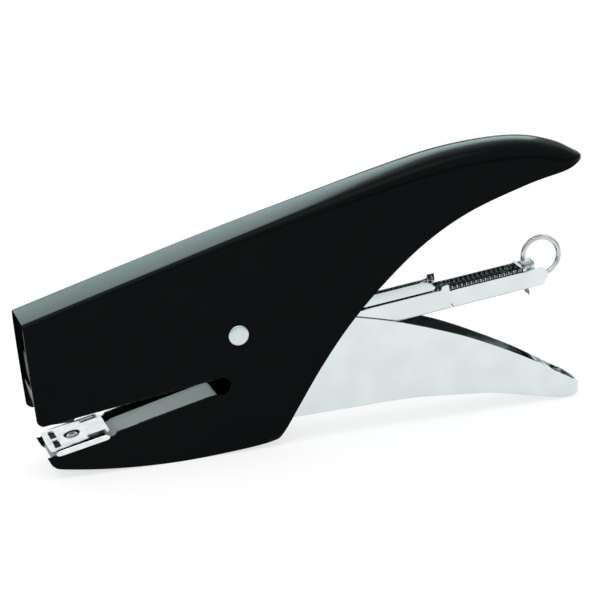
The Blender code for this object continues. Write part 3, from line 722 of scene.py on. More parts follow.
@dataclass
class BodyPressing:
    """The hollow black body, folded from one sheet: a crest and two side plates."""

    half: float = 9.0
    wall: float = 0.8
    throat_x: float = 61.4
    throat_z: float = 23.1
    throat_radius: float = 2.9
    tail_x: float = 177.6
    crest: tuple = ((0.0, 51.8), (30.0, 60.3), (60.0, 68.7), (90.0, 76.8), (118.0, 84.3),
                    (138.0, 88.8), (155.0, 90.5), (168.0, 90.0), (178.0, 87.3), (184.6, 83.9),
                    (186.2, 82.9), (186.6, 82.3))
    under: tuple = ((4.3, 7.4), (6.4, 4.6), (10.0, 3.2), (25.9, 1.0), (45.4, 0.0), (65.3, 0.8),
                    (77.4, 2.2), (81.0, 4.6), (86.0, 12.2), (94.3, 24.9), (103.8, 37.3),
                    (115.3, 49.3), (129.5, 61.1), (145.0, 69.8), (164.6, 76.4), (177.4, 79.4),
                    (184.0, 81.5), (186.0, 82.0), (186.6, 82.2))

    def shoulder(self, x: np.ndarray) -> tuple[np.ndarray, np.ndarray]:
        """Web and bend of one side at the stations x.

        The web is an arc of radius R up to the angle p from upright, and the
        bend an arc of radius r from p to 90 degrees, with
        R = r + (h - r) / sin p, so that both meet smoothly and end at the
        half width h. Towards the tail r grows and h follows a half circle.

        Args:
            x: stations along the body.

        Returns:
            The grid of points from the middle to the top of the plate, and
            the height at which the plate starts.
        """
        top, low = height_at(x, self.crest), height_at(x, self.under)
        reach = np.clip(x - self.tail_x, 0.0, self.half)
        half = np.sqrt(self.half ** 2 - reach ** 2)
        bend = 1.5 + 4.3 * ramp(x, 40.0, 172.0)
        bend = np.minimum(np.minimum(bend, 0.75 * half), 0.62 * np.maximum(top - low, 0.0)) + 1e-4
        tilt = np.radians(2.5 + 12.0 * ramp(x, 60.0, 176.0))
        web = bend + (half - bend) / np.sin(tilt)
        on_web = np.linspace(0.0, 1.0, 7, endpoint=False)[:, None] * tilt
        on_bend = tilt + np.linspace(0.0, 1.0, 11)[:, None] * (np.pi / 2 - tilt)
        side = np.concatenate([web * np.sin(on_web),
                               (web - bend) * np.sin(tilt) + bend * np.sin(on_bend)])
        height = np.concatenate([top - web + web * np.cos(on_web),
                                 top - web + (web - bend) * np.cos(tilt)
                                 + bend * np.cos(on_bend)])
        return side_points(x, -side, height), height[-1]

    def throat_edges(self, x: np.ndarray) -> tuple[np.ndarray, np.ndarray]:
        """Upper and lower edge of the paper throat: straight, then a half circle."""
        t = np.clip((x - self.throat_x) / self.throat_radius, 0.0, 1.0)
        arch = self.throat_radius * np.sqrt(1.0 - t ** 2)
        floor = np.where(x < self.throat_x, 0.0, self.throat_z - arch)
        seat = np.array([JAW_LINE.at(along, up) for along, up in
                         ((-0.2, -0.1), (0.9, -0.6), (21.9, -0.6), (22.9, 0.25), (54.0, 0.95),
                          (56.5, 0.75), (59.5, -0.3))])
        lower = np.interp(x, seat[:, 0], seat[:, 1])
        upper = np.minimum(18.4 + 0.1325 * (x - 4.6), self.throat_z + arch)
        return upper, np.maximum(lower, floor)

    def build(self) -> bpy.types.Object:
        """Fold the sheet and give it its wall."""
        end = self.throat_x + self.throat_radius
        turn = np.linspace(0.0, np.pi / 2, 12)
        mouth = np.concatenate([spaced((0.0, 0), (8.0, 20), (26.0, 18), (30.0, 10),
                                       (self.throat_x, 28))[:-1],
                                self.throat_x + self.throat_radius * np.sin(turn)])
        reach = np.linspace(0.0, np.pi / 2, 22)
        rear = np.concatenate([spaced((end, 0), (100.0, 36), (150.0, 40), (self.tail_x, 26))[:-1],
                               self.tail_x + self.half * np.sin(reach)])
        shell = Surface("body_pressing")

        v = np.concatenate([np.linspace(0.0, 0.9, 14)[:-1], np.linspace(0.9, 1.0, 9)])[:, None]
        lean = 2.3 * v ** 1.2 + 1.7 * np.clip((v - 0.93) / 0.07, 0.0, 1.0) ** 2.2
        x_nose = mouth + lean * (1.0 - mouth / end)
        shoulder, top = self.shoulder(mouth)
        plate_top = np.interp(x_nose, mouth, top)
        upper, _ = self.throat_edges(x_nose)
        shell.add_both(shoulder, side_points(x_nose, -self.half, plate_top * (1 - v) + upper * v))

        w = np.linspace(0.0, 1.0, 21)[:, None]
        start = 4.6 + 1.6 * np.clip(1.0 - w / 0.3, 0.0, 1.0) ** 2 \
            + 1.3 * np.clip((w - 0.3) / 0.7, 0.0, 1.0) ** 2
        x_jaw = start + mouth * (1.0 - start / end)
        _, edge = self.throat_edges(x_jaw)
        shell.add_both(side_points(x_jaw, -self.half,
                                   edge * (1 - w) + height_at(x_jaw, self.under) * w))

        shoulder, top = self.shoulder(rear)
        low = height_at(rear, self.under)
        meet = self.throat_z + (0.5 * (top + low) - self.throat_z) * ramp(rear, end, end + 60.0)
        side = shoulder[-1, :, 1]
        shell.add_both(shoulder,
                       side_points(rear, side, top * (1 - v) + meet * v),
                       side_points(rear, side, meet * (1 - w) + low * w))
        return thicken(shell.build(), self.wall, edge=0.18)

    def make(self) -> None:
        """Build and dress the body."""
        dress(self.build(), ENAMEL, Part.BODY, "body_shell")


@dataclass
class LowerJaw:
    """The channel between the jaw plates, with the anvil, its clip and its rivet."""

    half: float = 7.95
    anvil_half: float = 7.9
    anvil_front: float = 1.6
    anvil_end: float = 20.9
    rivet_along: float = 10.0
    hole_radius: float = 2.3
    clip_half: float = 9.8
    sheet: float = 0.7

    def channel_piece(self) -> bpy.types.Object:
        """An inverted channel, stepped up behind the anvil, whose web turns down round its rear end.

        The skin narrows to slivers at its front corners, so its wall is not kept even.
        """
        along = spaced((1.4, 0), (20.0, 18), (24.0, 8), (55.0, 30))
        turn = np.linspace(78.0, 0.0, 9)[1:] * np.pi / 180.0
        centre = JAW_LINE.at(55.3, -2.7)
        round_end = centre + 2.2 * np.stack([np.cos(turn), np.sin(turn)], 1)
        drop = np.interp(along, [20.0, 24.0, 55.0], [-3.0, -1.7, -0.5])
        web = np.concatenate([JAW_LINE.at(along, drop), round_end])
        foot_x = np.concatenate([web[:len(along), 0] + 0.6, np.linspace(59.0, 60.6, len(turn))])
        foot = np.stack([foot_x, np.interp(foot_x, [6.0, 10.0, 22.0, 40.0, 56.4],
                                           [5.0, 4.4, 3.2, 4.2, 9.0])], 1)
        grid = channel(web, foot, self.half, 1.3)
        return thicken(Surface("jaw_channel_pressing").add(grid).build(), self.sheet, edge=0.1,
                       even=False)

    def anvil_half_at(self, along: np.ndarray) -> np.ndarray:
        """Half width of the anvil: round front corners, and a notch on each side."""
        corner = np.clip((self.anvil_front + 1.2 - along) / 1.2, 0.0, 1.0)
        notch = ramp(along, 14.2, 15.1) * (1.0 - ramp(along, 18.9, 19.8))
        tail = np.clip((along - self.anvil_end + 0.9) / 0.9, 0.0, 1.0)
        flare = 0.9 * np.interp(along, [self.anvil_front, 13.0], [1.0, 0.0]) \
            - 0.3 * ramp(along, 10.0, 14.0) * (1.0 - ramp(along, 18.0, 20.0))
        return (self.anvil_half + flare - 1.2 * (1.0 - np.sqrt(1.0 - corner ** 2)) - 2.0 * notch
                - 0.9 * (1.0 - np.sqrt(1.0 - tail ** 2)))

    def pocket_depth(self, along: np.ndarray, across: np.ndarray) -> np.ndarray:
        """Depth of the two clinching pockets, flat-bottomed with round ends and sides."""
        side = np.abs(across) - 3.8
        ends = np.clip(1.0 - (np.abs(side) / 2.95) ** 6, 0.0, 1.0)
        width = np.clip(1.0 - ((along - 4.3) / 0.95) ** 4, 0.0, 1.0)
        return 0.62 * np.sqrt(ends * width)

    def anvil_plate(self) -> bpy.types.Object:
        """The anvil: a front with pockets, a ring round the rivet hole, a notched rear."""
        split_a, split_b, top = 5.9, 14.1, 0.85
        across = np.concatenate([-np.linspace(1.0, 0.0, 45)[:-1], np.linspace(0.0, 1.0, 45)])

        def sheet(along: np.ndarray, front: bool) -> np.ndarray:
            """The plate's top at the stations along; the front edge is bowed by 0.35 mm."""
            a, t = np.meshgrid(along, across)
            y = t * self.anvil_half_at(a)
            if front:
                bow = 0.35 * (1.0 - (y / self.anvil_half) ** 2)
                a = a - bow * np.clip((split_a - a) / (split_a - self.anvil_front), 0.0, 1.0) ** 3
            return JAW_LINE.solid(a, y, top - self.pocket_depth(a, y))

        front = sheet(spaced((self.anvil_front, 0), (2.8, 10), (3.2, 3), (5.4, 22), (split_a, 2)),
                      True)
        rear = sheet(spaced((split_b, 0), (20.0, 26), (self.anvil_end, 8)), False)

        sides = np.linspace(split_a, split_b, 40)
        wide = self.anvil_half_at(sides)
        rim = np.concatenate([
            np.stack([np.full_like(across, split_a), wide[0] * across], 1)[:-1],
            np.stack([sides, wide], 1)[:-1],
            np.stack([np.full_like(across, split_b), wide[-1] * across[::-1]], 1)[:-1],
            np.stack([sides[::-1], -wide[::-1]], 1)])
        outward = rim - np.array([self.rivet_along, 0.0])
        unit = outward / np.linalg.norm(outward, axis=1)[:, None]
        hole = np.array([self.rivet_along, 0.0]) + self.hole_radius * unit
        blend = np.linspace(0.0, 1.0, 14)[:, None, None] ** 1.4
        ring = hole[None] * (1 - blend) + rim[None] * blend
        lip = 0.22 * np.clip(1.0 - blend[..., 0] * 6.0, 0.0, 1.0)
        middle = JAW_LINE.solid(ring[..., 0], ring[..., 1], top - lip)
        plate = Surface("anvil_pressing").add(front, middle, rear).build()
        self.paint_shade(plate)
        return thicken(plate, self.sheet, edge=0.12)

    def paint_shade(self, plate: bpy.types.Object) -> None:
        """Paint shade into the pockets, the rivet hole's rim and the notches, as a point attribute
        from 0 to 1.
        """
        points = np.empty(len(plate.data.vertices) * 3, np.float32)
        plate.data.vertices.foreach_get("co", points)
        points = points.reshape(-1, 3) / MM - [NOSE / MM + JAW_LINE.x, 0.0, JAW_LINE.z]
        along = points[:, [0, 2]] @ JAW_LINE.axes()[0]
        across = points[:, 1]
        pockets = ramp(self.pocket_depth(along, across), 0.2, 0.45)
        from_rivet = np.hypot(along - self.rivet_along, across)
        rim = 1.0 - ramp(from_rivet, self.hole_radius + 0.15, self.hole_radius + 0.55)
        slit = ramp(along, 13.6, 14.4) * (1.0 - ramp(along, 19.4, 20.0)) \
            * ramp(np.abs(across), 5.0, 5.5)
        # Painted shade: the pockets, the hole's rim and the notches get a weight that darkens them as
        # if in shadow.
        shade_weight = np.clip(pockets + rim + 0.8 * slit, 0.0, 1.0)
        layer = plate.data.attributes.new("painted_shade", "FLOAT", "POINT")
        layer.data.foreach_set("value", shade_weight.astype(np.float32))

    def clip(self) -> bpy.types.Object:
        """The clip: a web under the anvil and a rounded bar outside each jaw plate.

        The bar's height at a station is a rounded hump: full in the middle
        and falling as a quarter ellipse over the last 1.6 mm of each end.
        """
        along = np.concatenate([2.8 + 1.6 * (1 - np.cos(np.linspace(0, np.pi / 2, 8))),
                                20.2 - 1.6 * (1 - np.sin(np.linspace(0, np.pi / 2, 8)))])
        reach = np.clip(np.maximum(4.4 - along, along - 18.6) / 1.6, 0.0, 1.0)
        hump = (0.12 + 0.88 * np.sqrt(1.0 - reach ** 2))[:, None]
        inner, round_off, top, low, middle = 9.25, 0.26, 0.75, -1.1, -0.28
        bend = np.linspace(0.0, np.pi, 9)
        out = 0.5 * (inner + self.clip_half) + round_off * np.cos(bend)
        rise = round_off * np.sin(bend)
        loop_y = np.concatenate([out, out[::-1]])[None]
        loop_up = np.concatenate([top - round_off + rise, low + round_off - rise[::-1]])[None]
        up = middle + (loop_up - middle) * hump
        surface = Surface("anvil_clip_pressing")
        for side in (-1.0, 1.0):
            surface.add(bar(JAW_LINE.solid(along[:, None], side * loop_y, up)))
        web_y = np.array([-9.4, 9.4, 9.4, -9.4])[None]
        web_up = np.array([-0.45, -0.45, -0.1, -0.1])[None]
        for stations in (spaced((3.4, 0), (7.6, 6)), spaced((12.4, 0), (19.6, 8))):
            surface.add(bar(JAW_LINE.solid(stations[:, None], web_y, web_up)))
        return surface.build()

    def rivet(self) -> bpy.types.Object:
        """The tubular rivet: a rolled head with a dimple, and a shank."""
        up = np.array([*JAW_LINE.axes()[1]])
        axis = (up[0], 0.0, up[1])
        centre = JAW_LINE.at(self.rivet_along, 0.0)
        profile = [(0.0, 0.22), (0.55, 0.24), (0.95, 0.42), (1.25, 0.56), (1.5, 0.6), (1.75, 0.52),
                   (1.9, 0.3), (1.88, 0.06), (1.3, -0.02), (1.3, -3.9), (2.5, -3.98), (2.6, -4.2),
                   (2.2, -4.5), (0.0, -4.6)]
        grid = turned(smooth_line(profile, 4), (centre[0], 0.0, centre[1]), axis)
        return Surface("anvil_rivet_turned").add(grid).build()

    def make(self) -> None:
        """Build and dress the jaw's pieces."""
        dress(self.channel_piece(), GREY_PAINTED_SHEEN, Part.BODY, "jaw_channel")
        dress(self.anvil_plate(), ANVIL_CHROME, Part.BODY, "anvil_plate")
        dress(self.clip(), ANVIL_CHROME, Part.BODY, "anvil_clip")
        centre = JAW_LINE.at(self.rivet_along, 0.0) * MM
        zinc = TurnedZinc("zinc_plated_anvil_rivet", Slot.BRIGHT, "#B4B9BB", "#D6D9DA", 1.0,
                          0.16, 0.30, (NOSE + centre[0], 0.0, centre[1]), "Z",
                          math.atan(JAW_LINE.rise))
        dress(self.rivet(), zinc, Part.BODY, "anvil_rivet")
        refinish("anvil_spacer", OXIDE)


@dataclass
class MainPivot:
    """The main rivet, with a domed head on each side plate."""

    head_radius: float = 3.25
    shank_radius: float = 2.0
    seat: float = 9.2
    crown: float = 9.8

    def build(self) -> bpy.types.Object:
        """Turn the rivet; each head is a low dome with a rounded rim."""
        r, seat, crown = self.head_radius, self.seat, self.crown
        head = smooth_line([(0.0, crown), (0.45 * r, crown - 0.02), (0.8 * r, crown - 0.1),
                            (0.95 * r, crown - 0.24), (r, seat + 0.22), (0.98 * r, seat)], 6)
        shank = np.array([(self.shank_radius, seat), (self.shank_radius, 0.0)])
        half = np.concatenate([head, shank])
        profile = np.concatenate([half, half[-2::-1] * [1.0, -1.0]])
        grid = turned(profile, (PIVOT[0], 0.0, PIVOT[1]), (0.0, 1.0, 0.0))
        return Surface("main_rivet_turned").add(grid).build()

    def make(self) -> None:
        """Build and dress the rivet and its bush."""
        zinc = TurnedZinc("zinc_plated_main_rivet", Slot.BRIGHT, "#C9D3D2", "#D3DCDB", 1.0,
                          0.26, 0.32, (NOSE + PIVOT[0] * MM, 0.0, PIVOT[1] * MM), "Y", 0.0)
        dress(self.build(), zinc, Part.BODY, "main_rivet")
        refinish("pivot_bush", OXIDE)


@dataclass
class ReturnLeaf:
    """The leaf spring under the crest that pushes the magazine down."""

    half: float = 4.0
    strip: float = 0.5
    path: tuple = ((60.0, 66.4), (70.0, 69.1), (76.0, 68.4), (84.0, 60.0), (91.0, 48.0),
                   (95.5, 41.4), (98.0, 40.9), (101.0, 42.0))

    def make(self) -> None:
        """Build and dress the leaf; its width narrows to 70 % at the tip."""
        path = smooth_line(self.path, 8) - [0.2, 0.12]
        half = self.half * (1.0 - 0.3 * ramp(path[:, 0], 84.0, 101.0))
        leaf = Surface("return_leaf_strip").add(ribbon(path, half, 7, 0.1)).build()
        dress(thicken(leaf, self.strip, 0.0, 0.08), SPRING_STRIP, Part.BODY, "return_leaf")
        refinish("leaf_saddle", OXIDE)


# Handle ----------------------------------------------------------------------

@dataclass
class Handle:
    """The chrome lever: two cheeks, a floor under the grip and a roof over the nose arm."""

    half: float = 7.95
    wall: float = 0.7
    tail_half: float = 6.0
    tail_x: float = 186.5
    taper_x: float = 140.0
    bend: float = 1.6
    floor_x: float = 75.0
    roof_end: float = 60.0
    tab_half: float = 5.2
    blade_radius: float = 64.9
    blade_half: float = 6.25
    upper: tuple = ((3.5, 44.6), (5.0, 46.2), (20.0, 47.4), (62.0, 49.0), (78.0, 47.8),
                    (92.0, 43.4), (104.4, 39.9), (121.3, 35.6), (142.1, 28.2), (163.4, 17.9),
                    (178.0, 9.2), (185.2, 5.0), (186.5, 3.0))
    lower: tuple = ((3.5, 39.6), (20.0, 38.4), (58.0, 34.0), (66.0, 31.5), (69.0, 26.0),
                    (71.0, 17.0), (76.0, 10.6), (82.9, 8.4), (103.4, 8.5), (125.6, 8.7),
                    (148.2, 6.7), (159.6, 4.6), (176.0, 0.7), (182.4, 0.0), (185.6, 0.8),
                    (186.5, 2.8))

    def half_at(self, x: np.ndarray) -> np.ndarray:
        """Half width: straight, tapered from taper_x, then a half circle at the tail."""
        centre = self.tail_x - self.tail_half
        straight = np.interp(x, [self.taper_x, centre], [self.half, self.tail_half])
        reach = np.clip(x - centre, 0.0, self.tail_half)
        return np.where(x > centre, np.sqrt(self.tail_half ** 2 - reach ** 2), straight)

    def build(self) -> bpy.types.Object:
        """Fold the sheet.

        A cheek runs between the upper and the lower curve. Where there is a
        floor, its lower part is the arc y = h - r + r cos a, z = low + r - r sin a;
        the roof over the arm mirrors it upwards.
        """
        reach = np.linspace(0.0, np.pi / 2, 16)
        centre = self.tail_x - self.tail_half
        arm = spaced((3.5, 0), (8.0, 14), (40.0, 16), (self.roof_end, 12))
        neck = spaced((self.roof_end, 0), (66.0, 6), (71.5, 14), (self.floor_x, 8))
        grip = np.concatenate([spaced((self.floor_x, 0), (90.0, 20), (self.taper_x, 30),
                                      (centre, 28))[:-1],
                               centre + self.tail_half * np.sin(reach)])
        shell = Surface("lower_handle_pressing")
        t = np.linspace(0.0, 1.0, 9)[:, None]
        angle = np.linspace(0.0, np.pi / 2, 9)[:, None]

        for x, roofed, floored in ((arm, True, False), (neck, False, False), (grip, False, True)):
            top, low, half = height_at(x, self.upper), height_at(x, self.lower), self.half_at(x)
            room = np.minimum(0.45 * np.maximum(top - low, 0.0), 0.7 * half) + 1e-4
            over = np.minimum(1.2, room) * (1.0 - ramp(x, self.roof_end - 6.0, self.roof_end)) \
                if roofed else 0.0 * x
            under = np.minimum(self.bend, room) * ramp(x, self.floor_x - 0.1, self.floor_x + 6.0) \
                if floored else 0.0 * x
            shell.add_both(side_points(x, -half, (top - over) * (1 - t) + (low + under) * t))
            for wanted, radius, edge, sign in ((roofed, over, top, -1.0),
                                               (floored, under, low, 1.0)):
                if wanted:
                    y = half - radius + radius * np.cos(angle)
                    z = edge + sign * (radius - radius * np.sin(angle))
                    s = np.linspace(0.0, 1.0, 6)[:, None]
                    shell.add_both(side_points(x, -y, z),
                                   side_points(x, -(half - radius) * (1 - s), edge + 0.0 * s))
        return thicken(shell.build(), self.wall, edge=0.15)

    def nose(self) -> bpy.types.Object:
        """The plate that closes the arm's front, turned in round the cheeks and the roof."""
        across = np.linspace(-self.half, self.half, 21)[:, None]
        path = smooth_line([(3.55, 39.7), (3.5, 42.0), (3.55, 44.2), (3.95, 45.2), (4.8, 45.9)], 3)
        x = path[:, 0] + 0.9 * np.abs(across / self.half) ** 10
        plate = side_points(x, across, path[:, 1])
        return thicken(Surface("lever_nose_plate").add(plate).build(), 0.5, 0.0, 0.1)

    def make(self) -> None:
        """Build and dress the handle and what is fixed to it."""
        dress(self.build(), CHROME, Part.HANDLE, "lower_handle")
        # The nose plate's white is a painted reflection.
        dress(self.nose(), NOSE_PAINTED_REFLECTION, Part.HANDLE)
        dress(self.cross_tab(), CHROME, Part.HANDLE, "handle_cross_tab")
        dress(self.blade(), OXIDE, Part.HANDLE, "driver_blade")
        refinish("driver_pin", OXIDE)

    def cross_tab(self) -> bpy.types.Object:
        """The tab that ties the cheeks together near the tail, with its top bent back."""
        path = smooth_line([(177.4, 8.7), (175.6, 9.8), (174.5, 10.1), (173.6, 8.9), (172.7, 6.4),
                            (172.05, 4.1)], 5)
        sheet = Surface("handle_cross_tab_sheet").add(ribbon(path, self.tab_half)).build()
        return thicken(sheet, self.wall, 0.0, 0.12)

    def blade(self) -> bpy.types.Object:
        """The driver blade, an arc about the pivot with a flange bent back at its top."""
        z = np.linspace(28.0, 38.2, 22)
        arc = np.stack([PIVOT[0] - np.sqrt(self.blade_radius ** 2 - (z - PIVOT[1]) ** 2), z], 1)
        flange = np.array([[2.62, 38.6], [3.0, 38.85], [3.5, 38.9], [6.5, 38.9], [9.6, 38.9]])
        path = np.concatenate([arc, flange])
        sheet = Surface("driver_blade_sheet").add(ribbon(path, self.blade_half)).build()
        return thicken(sheet, 0.5, 0.0, 0.06)


# Magazine --------------------------------------------------------------------

@dataclass
class Magazine:
    """The chrome channel that holds the staples, with its cover, guide and spring."""

    half: float = 7.0
    sheet: float = 0.5
    height: float = 6.8
    front: float = -112.0
    rear: float = 16.0
    ear_radius: float = 4.4
    staple_half: float = 6.25
    staple_top: float = 6.1
    staple_pitch: float = 0.55
    strip_front: float = -118.2
    strip_length: float = 42.0

    def wall_top(self, along: np.ndarray) -> np.ndarray:
        """Height of the walls: level, with pivot ears and a stop lug at the rear."""
        t, n = MAGAZINE_LINE.axes()
        pivot = np.array(PIVOT) - [MAGAZINE_LINE.x, MAGAZINE_LINE.z]
        ear_along, ear_up = float(pivot @ t), float(pivot @ n)
        off = np.abs(along - ear_along)
        arch = ear_up + np.sqrt(np.clip(self.ear_radius ** 2 - off ** 2, 0.0, None))
        flank = self.height + (ear_up - self.height) * (1 - ramp(off, self.ear_radius, 7.0))
        ear = np.where(off < self.ear_radius, arch, flank)
        lug = self.height + 1.3 * ramp(along, self.rear - 2.9, self.rear - 2.2)
        return np.maximum(ear, lug)

    def channel_piece(self) -> bpy.types.Object:
        """The open channel, whose walls rise to the ears."""
        along = spaced((self.front, 0), (-64.0, 40), (-47.0, 60), (self.rear - 3.2, 44),
                       (self.rear - 2.0, 10), (self.rear, 4))
        grid = channel(MAGAZINE_LINE.at(along, 0.0), MAGAZINE_LINE.at(along, self.wall_top(along)),
                       self.half, 1.0, wall_steps=8)
        return thicken(Surface("magazine_channel_pressing").add(grid).build(), self.sheet,
                       edge=0.1)

    def cover(self) -> bpy.types.Object:
        """The narrow cover strip, slightly crowned, with round ends."""
        along = np.concatenate([-100.0 + 3.0 * (1 - np.cos(np.linspace(0, np.pi / 2, 8))),
                                spaced((-97.0, 0), (10.5, 40))[1:-1],
                                10.5 + 2.5 * np.sin(np.linspace(0, np.pi / 2, 8))])
        end = np.clip(np.maximum(-97.0 - along, (along - 10.5) * 1.2) / 3.0, 0.0, 1.0)
        half = 1.4 + 2.9 * np.sqrt(1.0 - end ** 2)
        strip = ribbon(MAGAZINE_LINE.at(along, 6.55), half, 13, 0.06)
        return thicken(Surface("magazine_cover_strip").add(strip).build(), 0.26, 0.0, 0.05)

    def staples(self) -> bpy.types.Object:
        """Glued staples: an inverted channel, ridged across once for each wire.

        The skin sinks by 0.11 |cos(pi a / pitch)|^6 mm at each joint between two wires.
        """
        count = int(self.strip_length / self.staple_pitch)
        along = self.strip_front + np.arange(count * 6 + 1) * self.staple_pitch / 6
        sink = 0.11 * np.abs(np.cos(np.pi * (along - self.strip_front) / self.staple_pitch)) ** 6
        web = MAGAZINE_LINE.at(along, self.staple_top - sink)
        foot = MAGAZINE_LINE.at(along, 0.8)
        grid = channel(web, foot, self.staple_half - sink, 0.5, web_steps=2, wall_steps=1,
                       bend_steps=3)
        strip = Surface("staple_strip_wires").add(grid).build()
        strip.data.set_sharp_from_angle(angle=math.radians(70.0))
        return thicken(strip, 0.5, edge=0.0)

    def guide(self) -> bpy.types.Object:
        """The front guide: a plate curved about the pivot, with cheeks running back."""
        z = spaced((17.8, 0), (19.0, 4), (22.2, 5), (27.2, 8), (27.8, 3), (29.2, 4))
        front = PIVOT[0] - np.sqrt(66.2 ** 2 - (z - PIVOT[1]) ** 2)
        back = np.interp(z, [17.8, 19.0, 22.2, 22.6, 27.0, 27.6, 29.2],
                         [13.6, 14.6, 15.3, 11.6, 11.4, 6.4, 6.0])
        grid = channel(np.stack([front, z], 1), np.stack([back, z], 1), self.half, 1.2)
        return thicken(Surface("staple_guide_pressing").add(grid).build(), 0.6, edge=0.1)

    def coil(self) -> bpy.types.Object:
        """The lever spring: five turns, with the end turns closed and lying flat."""
        turn = np.linspace(0.0, 5.0, 5 * 28 + 1)
        rise = 11.3 * np.interp(turn, [0.0, 0.8, 4.2, 5.0], [0.0, 0.06, 0.94, 1.0])
        path = side_points(34.0 + 3.2 * np.cos(TAU * turn), 3.2 * np.sin(TAU * turn), 34.45 + rise)
        return Surface("lever_spring_coil").add(tube(path, 0.45, (0.0, 0.0, 1.0), 10)).build()

    def make(self) -> None:
        """Build and dress the magazine's pieces."""
        dress(self.channel_piece(), CHROME, Part.MAGAZINE, "magazine_channel")
        dress(self.cover(), CHROME, Part.MAGAZINE, "magazine_cover")
        dress(self.staples(), STAPLE_WIRE, Part.MAGAZINE, "staple_strip")
        dress(self.guide(), OXIDE, Part.MAGAZINE, "staple_guide")
        dress(self.coil(), SPRING_WIRE, Part.MAGAZINE, "lever_spring")


@dataclass
class CoreRail:
    """The rail that slides out of the magazine, with its hook, rod, ring and spring."""

    half: float = 5.6
    sheet: float = 0.5
    top: float = 5.35
    front: float = -116.5
    rear: float = 47.0
    step: float = 16.6
    rod_height: float = 3.75
    rod_radius: float = 0.88
    ring_x: float = 173.8
    ring_z: float = 48.9
    ring_radius: float = 6.05
    coil_radius: float = 2.1
    coil_wire: float = 0.3
    turns: int = 64

    def rail(self) -> bpy.types.Object:
        """The open channel, deeper beyond the magazine and drawn in at its end."""
        along = spaced((self.front, 0), (self.step - 0.2, 60), (self.step + 1.0, 6),
                       (self.rear + 1.0, 20), (self.rear + 3.6, 10))
        floor = 0.75 - 1.35 * ramp(along, self.step, self.step + 0.6) \
            + 2.0 * ramp(along, self.rear + 1.6, self.rear + 3.6)
        wall = self.top + 0.4 * ramp(along, self.rear - 4.0, self.rear + 1.6) \
            - 1.5 * ramp(along, self.rear + 1.8, self.rear + 3.6)
        grid = channel(MAGAZINE_LINE.at(along, floor), MAGAZINE_LINE.at(along, wall),
                       self.half, 0.9)
        return thicken(Surface("core_rail_pressing").add(grid).build(), self.sheet, edge=0.1)

    def hook(self) -> bpy.types.Object:
        """The small catch under the rail's end."""
        path = smooth_line([(41.3, -1.15), (43.2, -1.15), (44.5, -1.45), (44.85, -2.7),
                            (44.9, -4.1)], 6)
        sheet = Surface("rail_hook_sheet").add(ribbon(MAGAZINE_LINE.at(*path.T), 2.0, 7)).build()
        return thicken(sheet, 0.55, 0.0, 0.12)

    def rod(self) -> bpy.types.Object:
        """The spring's guide rod, whose end is bent round into the pull ring.

        The ring is x = cx + r cos a, z = cz + r sin a, with y drifting by one
        wire and a half so that its end lies beside its start.
        """
        start = MAGAZINE_LINE.solid(np.linspace(self.front + 1.2, self.rear - 3.6, 30), 0.0,
                                    self.rod_height)
        angle = np.radians(np.linspace(-146.0, 188.0, 90))
        ring = side_points(self.ring_x + self.ring_radius * np.cos(angle),
                           np.linspace(0.06, 1.9, 90) * ramp(np.arange(90), 0, 60),
                           self.ring_z + self.ring_radius * np.sin(angle))
        lift = smooth_line([start[-2], start[-1], (168.0, 0.0, 45.0), ring[0], ring[1]], 10)
        path = np.concatenate([start[:-1], lift[10:31], ring[1:]])
        grid = tube(path, self.rod_radius, (0.0, 1.0, 0.0), 14)
        return Surface("pull_ring_wire").add(grid).build()

    def coil(self) -> bpy.types.Object:
        """The follower spring, wound round the rod: a helix on the magazine's line."""
        begin, end = -118.2 + 42.0 + 0.25 + 11.0 + 0.7, self.rear - 5.1
        turn = np.linspace(0.0, self.turns, self.turns * 18 + 1)
        along = begin + (end - begin) * turn / self.turns
        path = MAGAZINE_LINE.solid(along, self.coil_radius * np.sin(TAU * turn),
                                   self.rod_height + self.coil_radius * np.cos(TAU * turn))
        t = MAGAZINE_LINE.axes()[0]
        grid = tube(path, self.coil_wire, (t[0], 0.0, t[1]), 7)
        return Surface("follower_spring_coil").add(grid).build()

    def make(self) -> None:
        """Build and dress the rail's pieces."""
        dress(self.rail(), CHROME, Part.RAIL, "core_rail")
        dress(self.hook(), SPRING_STRIP, Part.RAIL, "rail_hook")
        dress(self.rod(), RING_WIRE, Part.RAIL, "pull_ring_rod")
        dress(self.coil(), SPRING_WIRE, Part.RAIL, "follower_spring")
        refinish("rod_bracket", CHROME)
        refinish("follower", OXIDE)


# Studio ----------------------------------------------------------------------

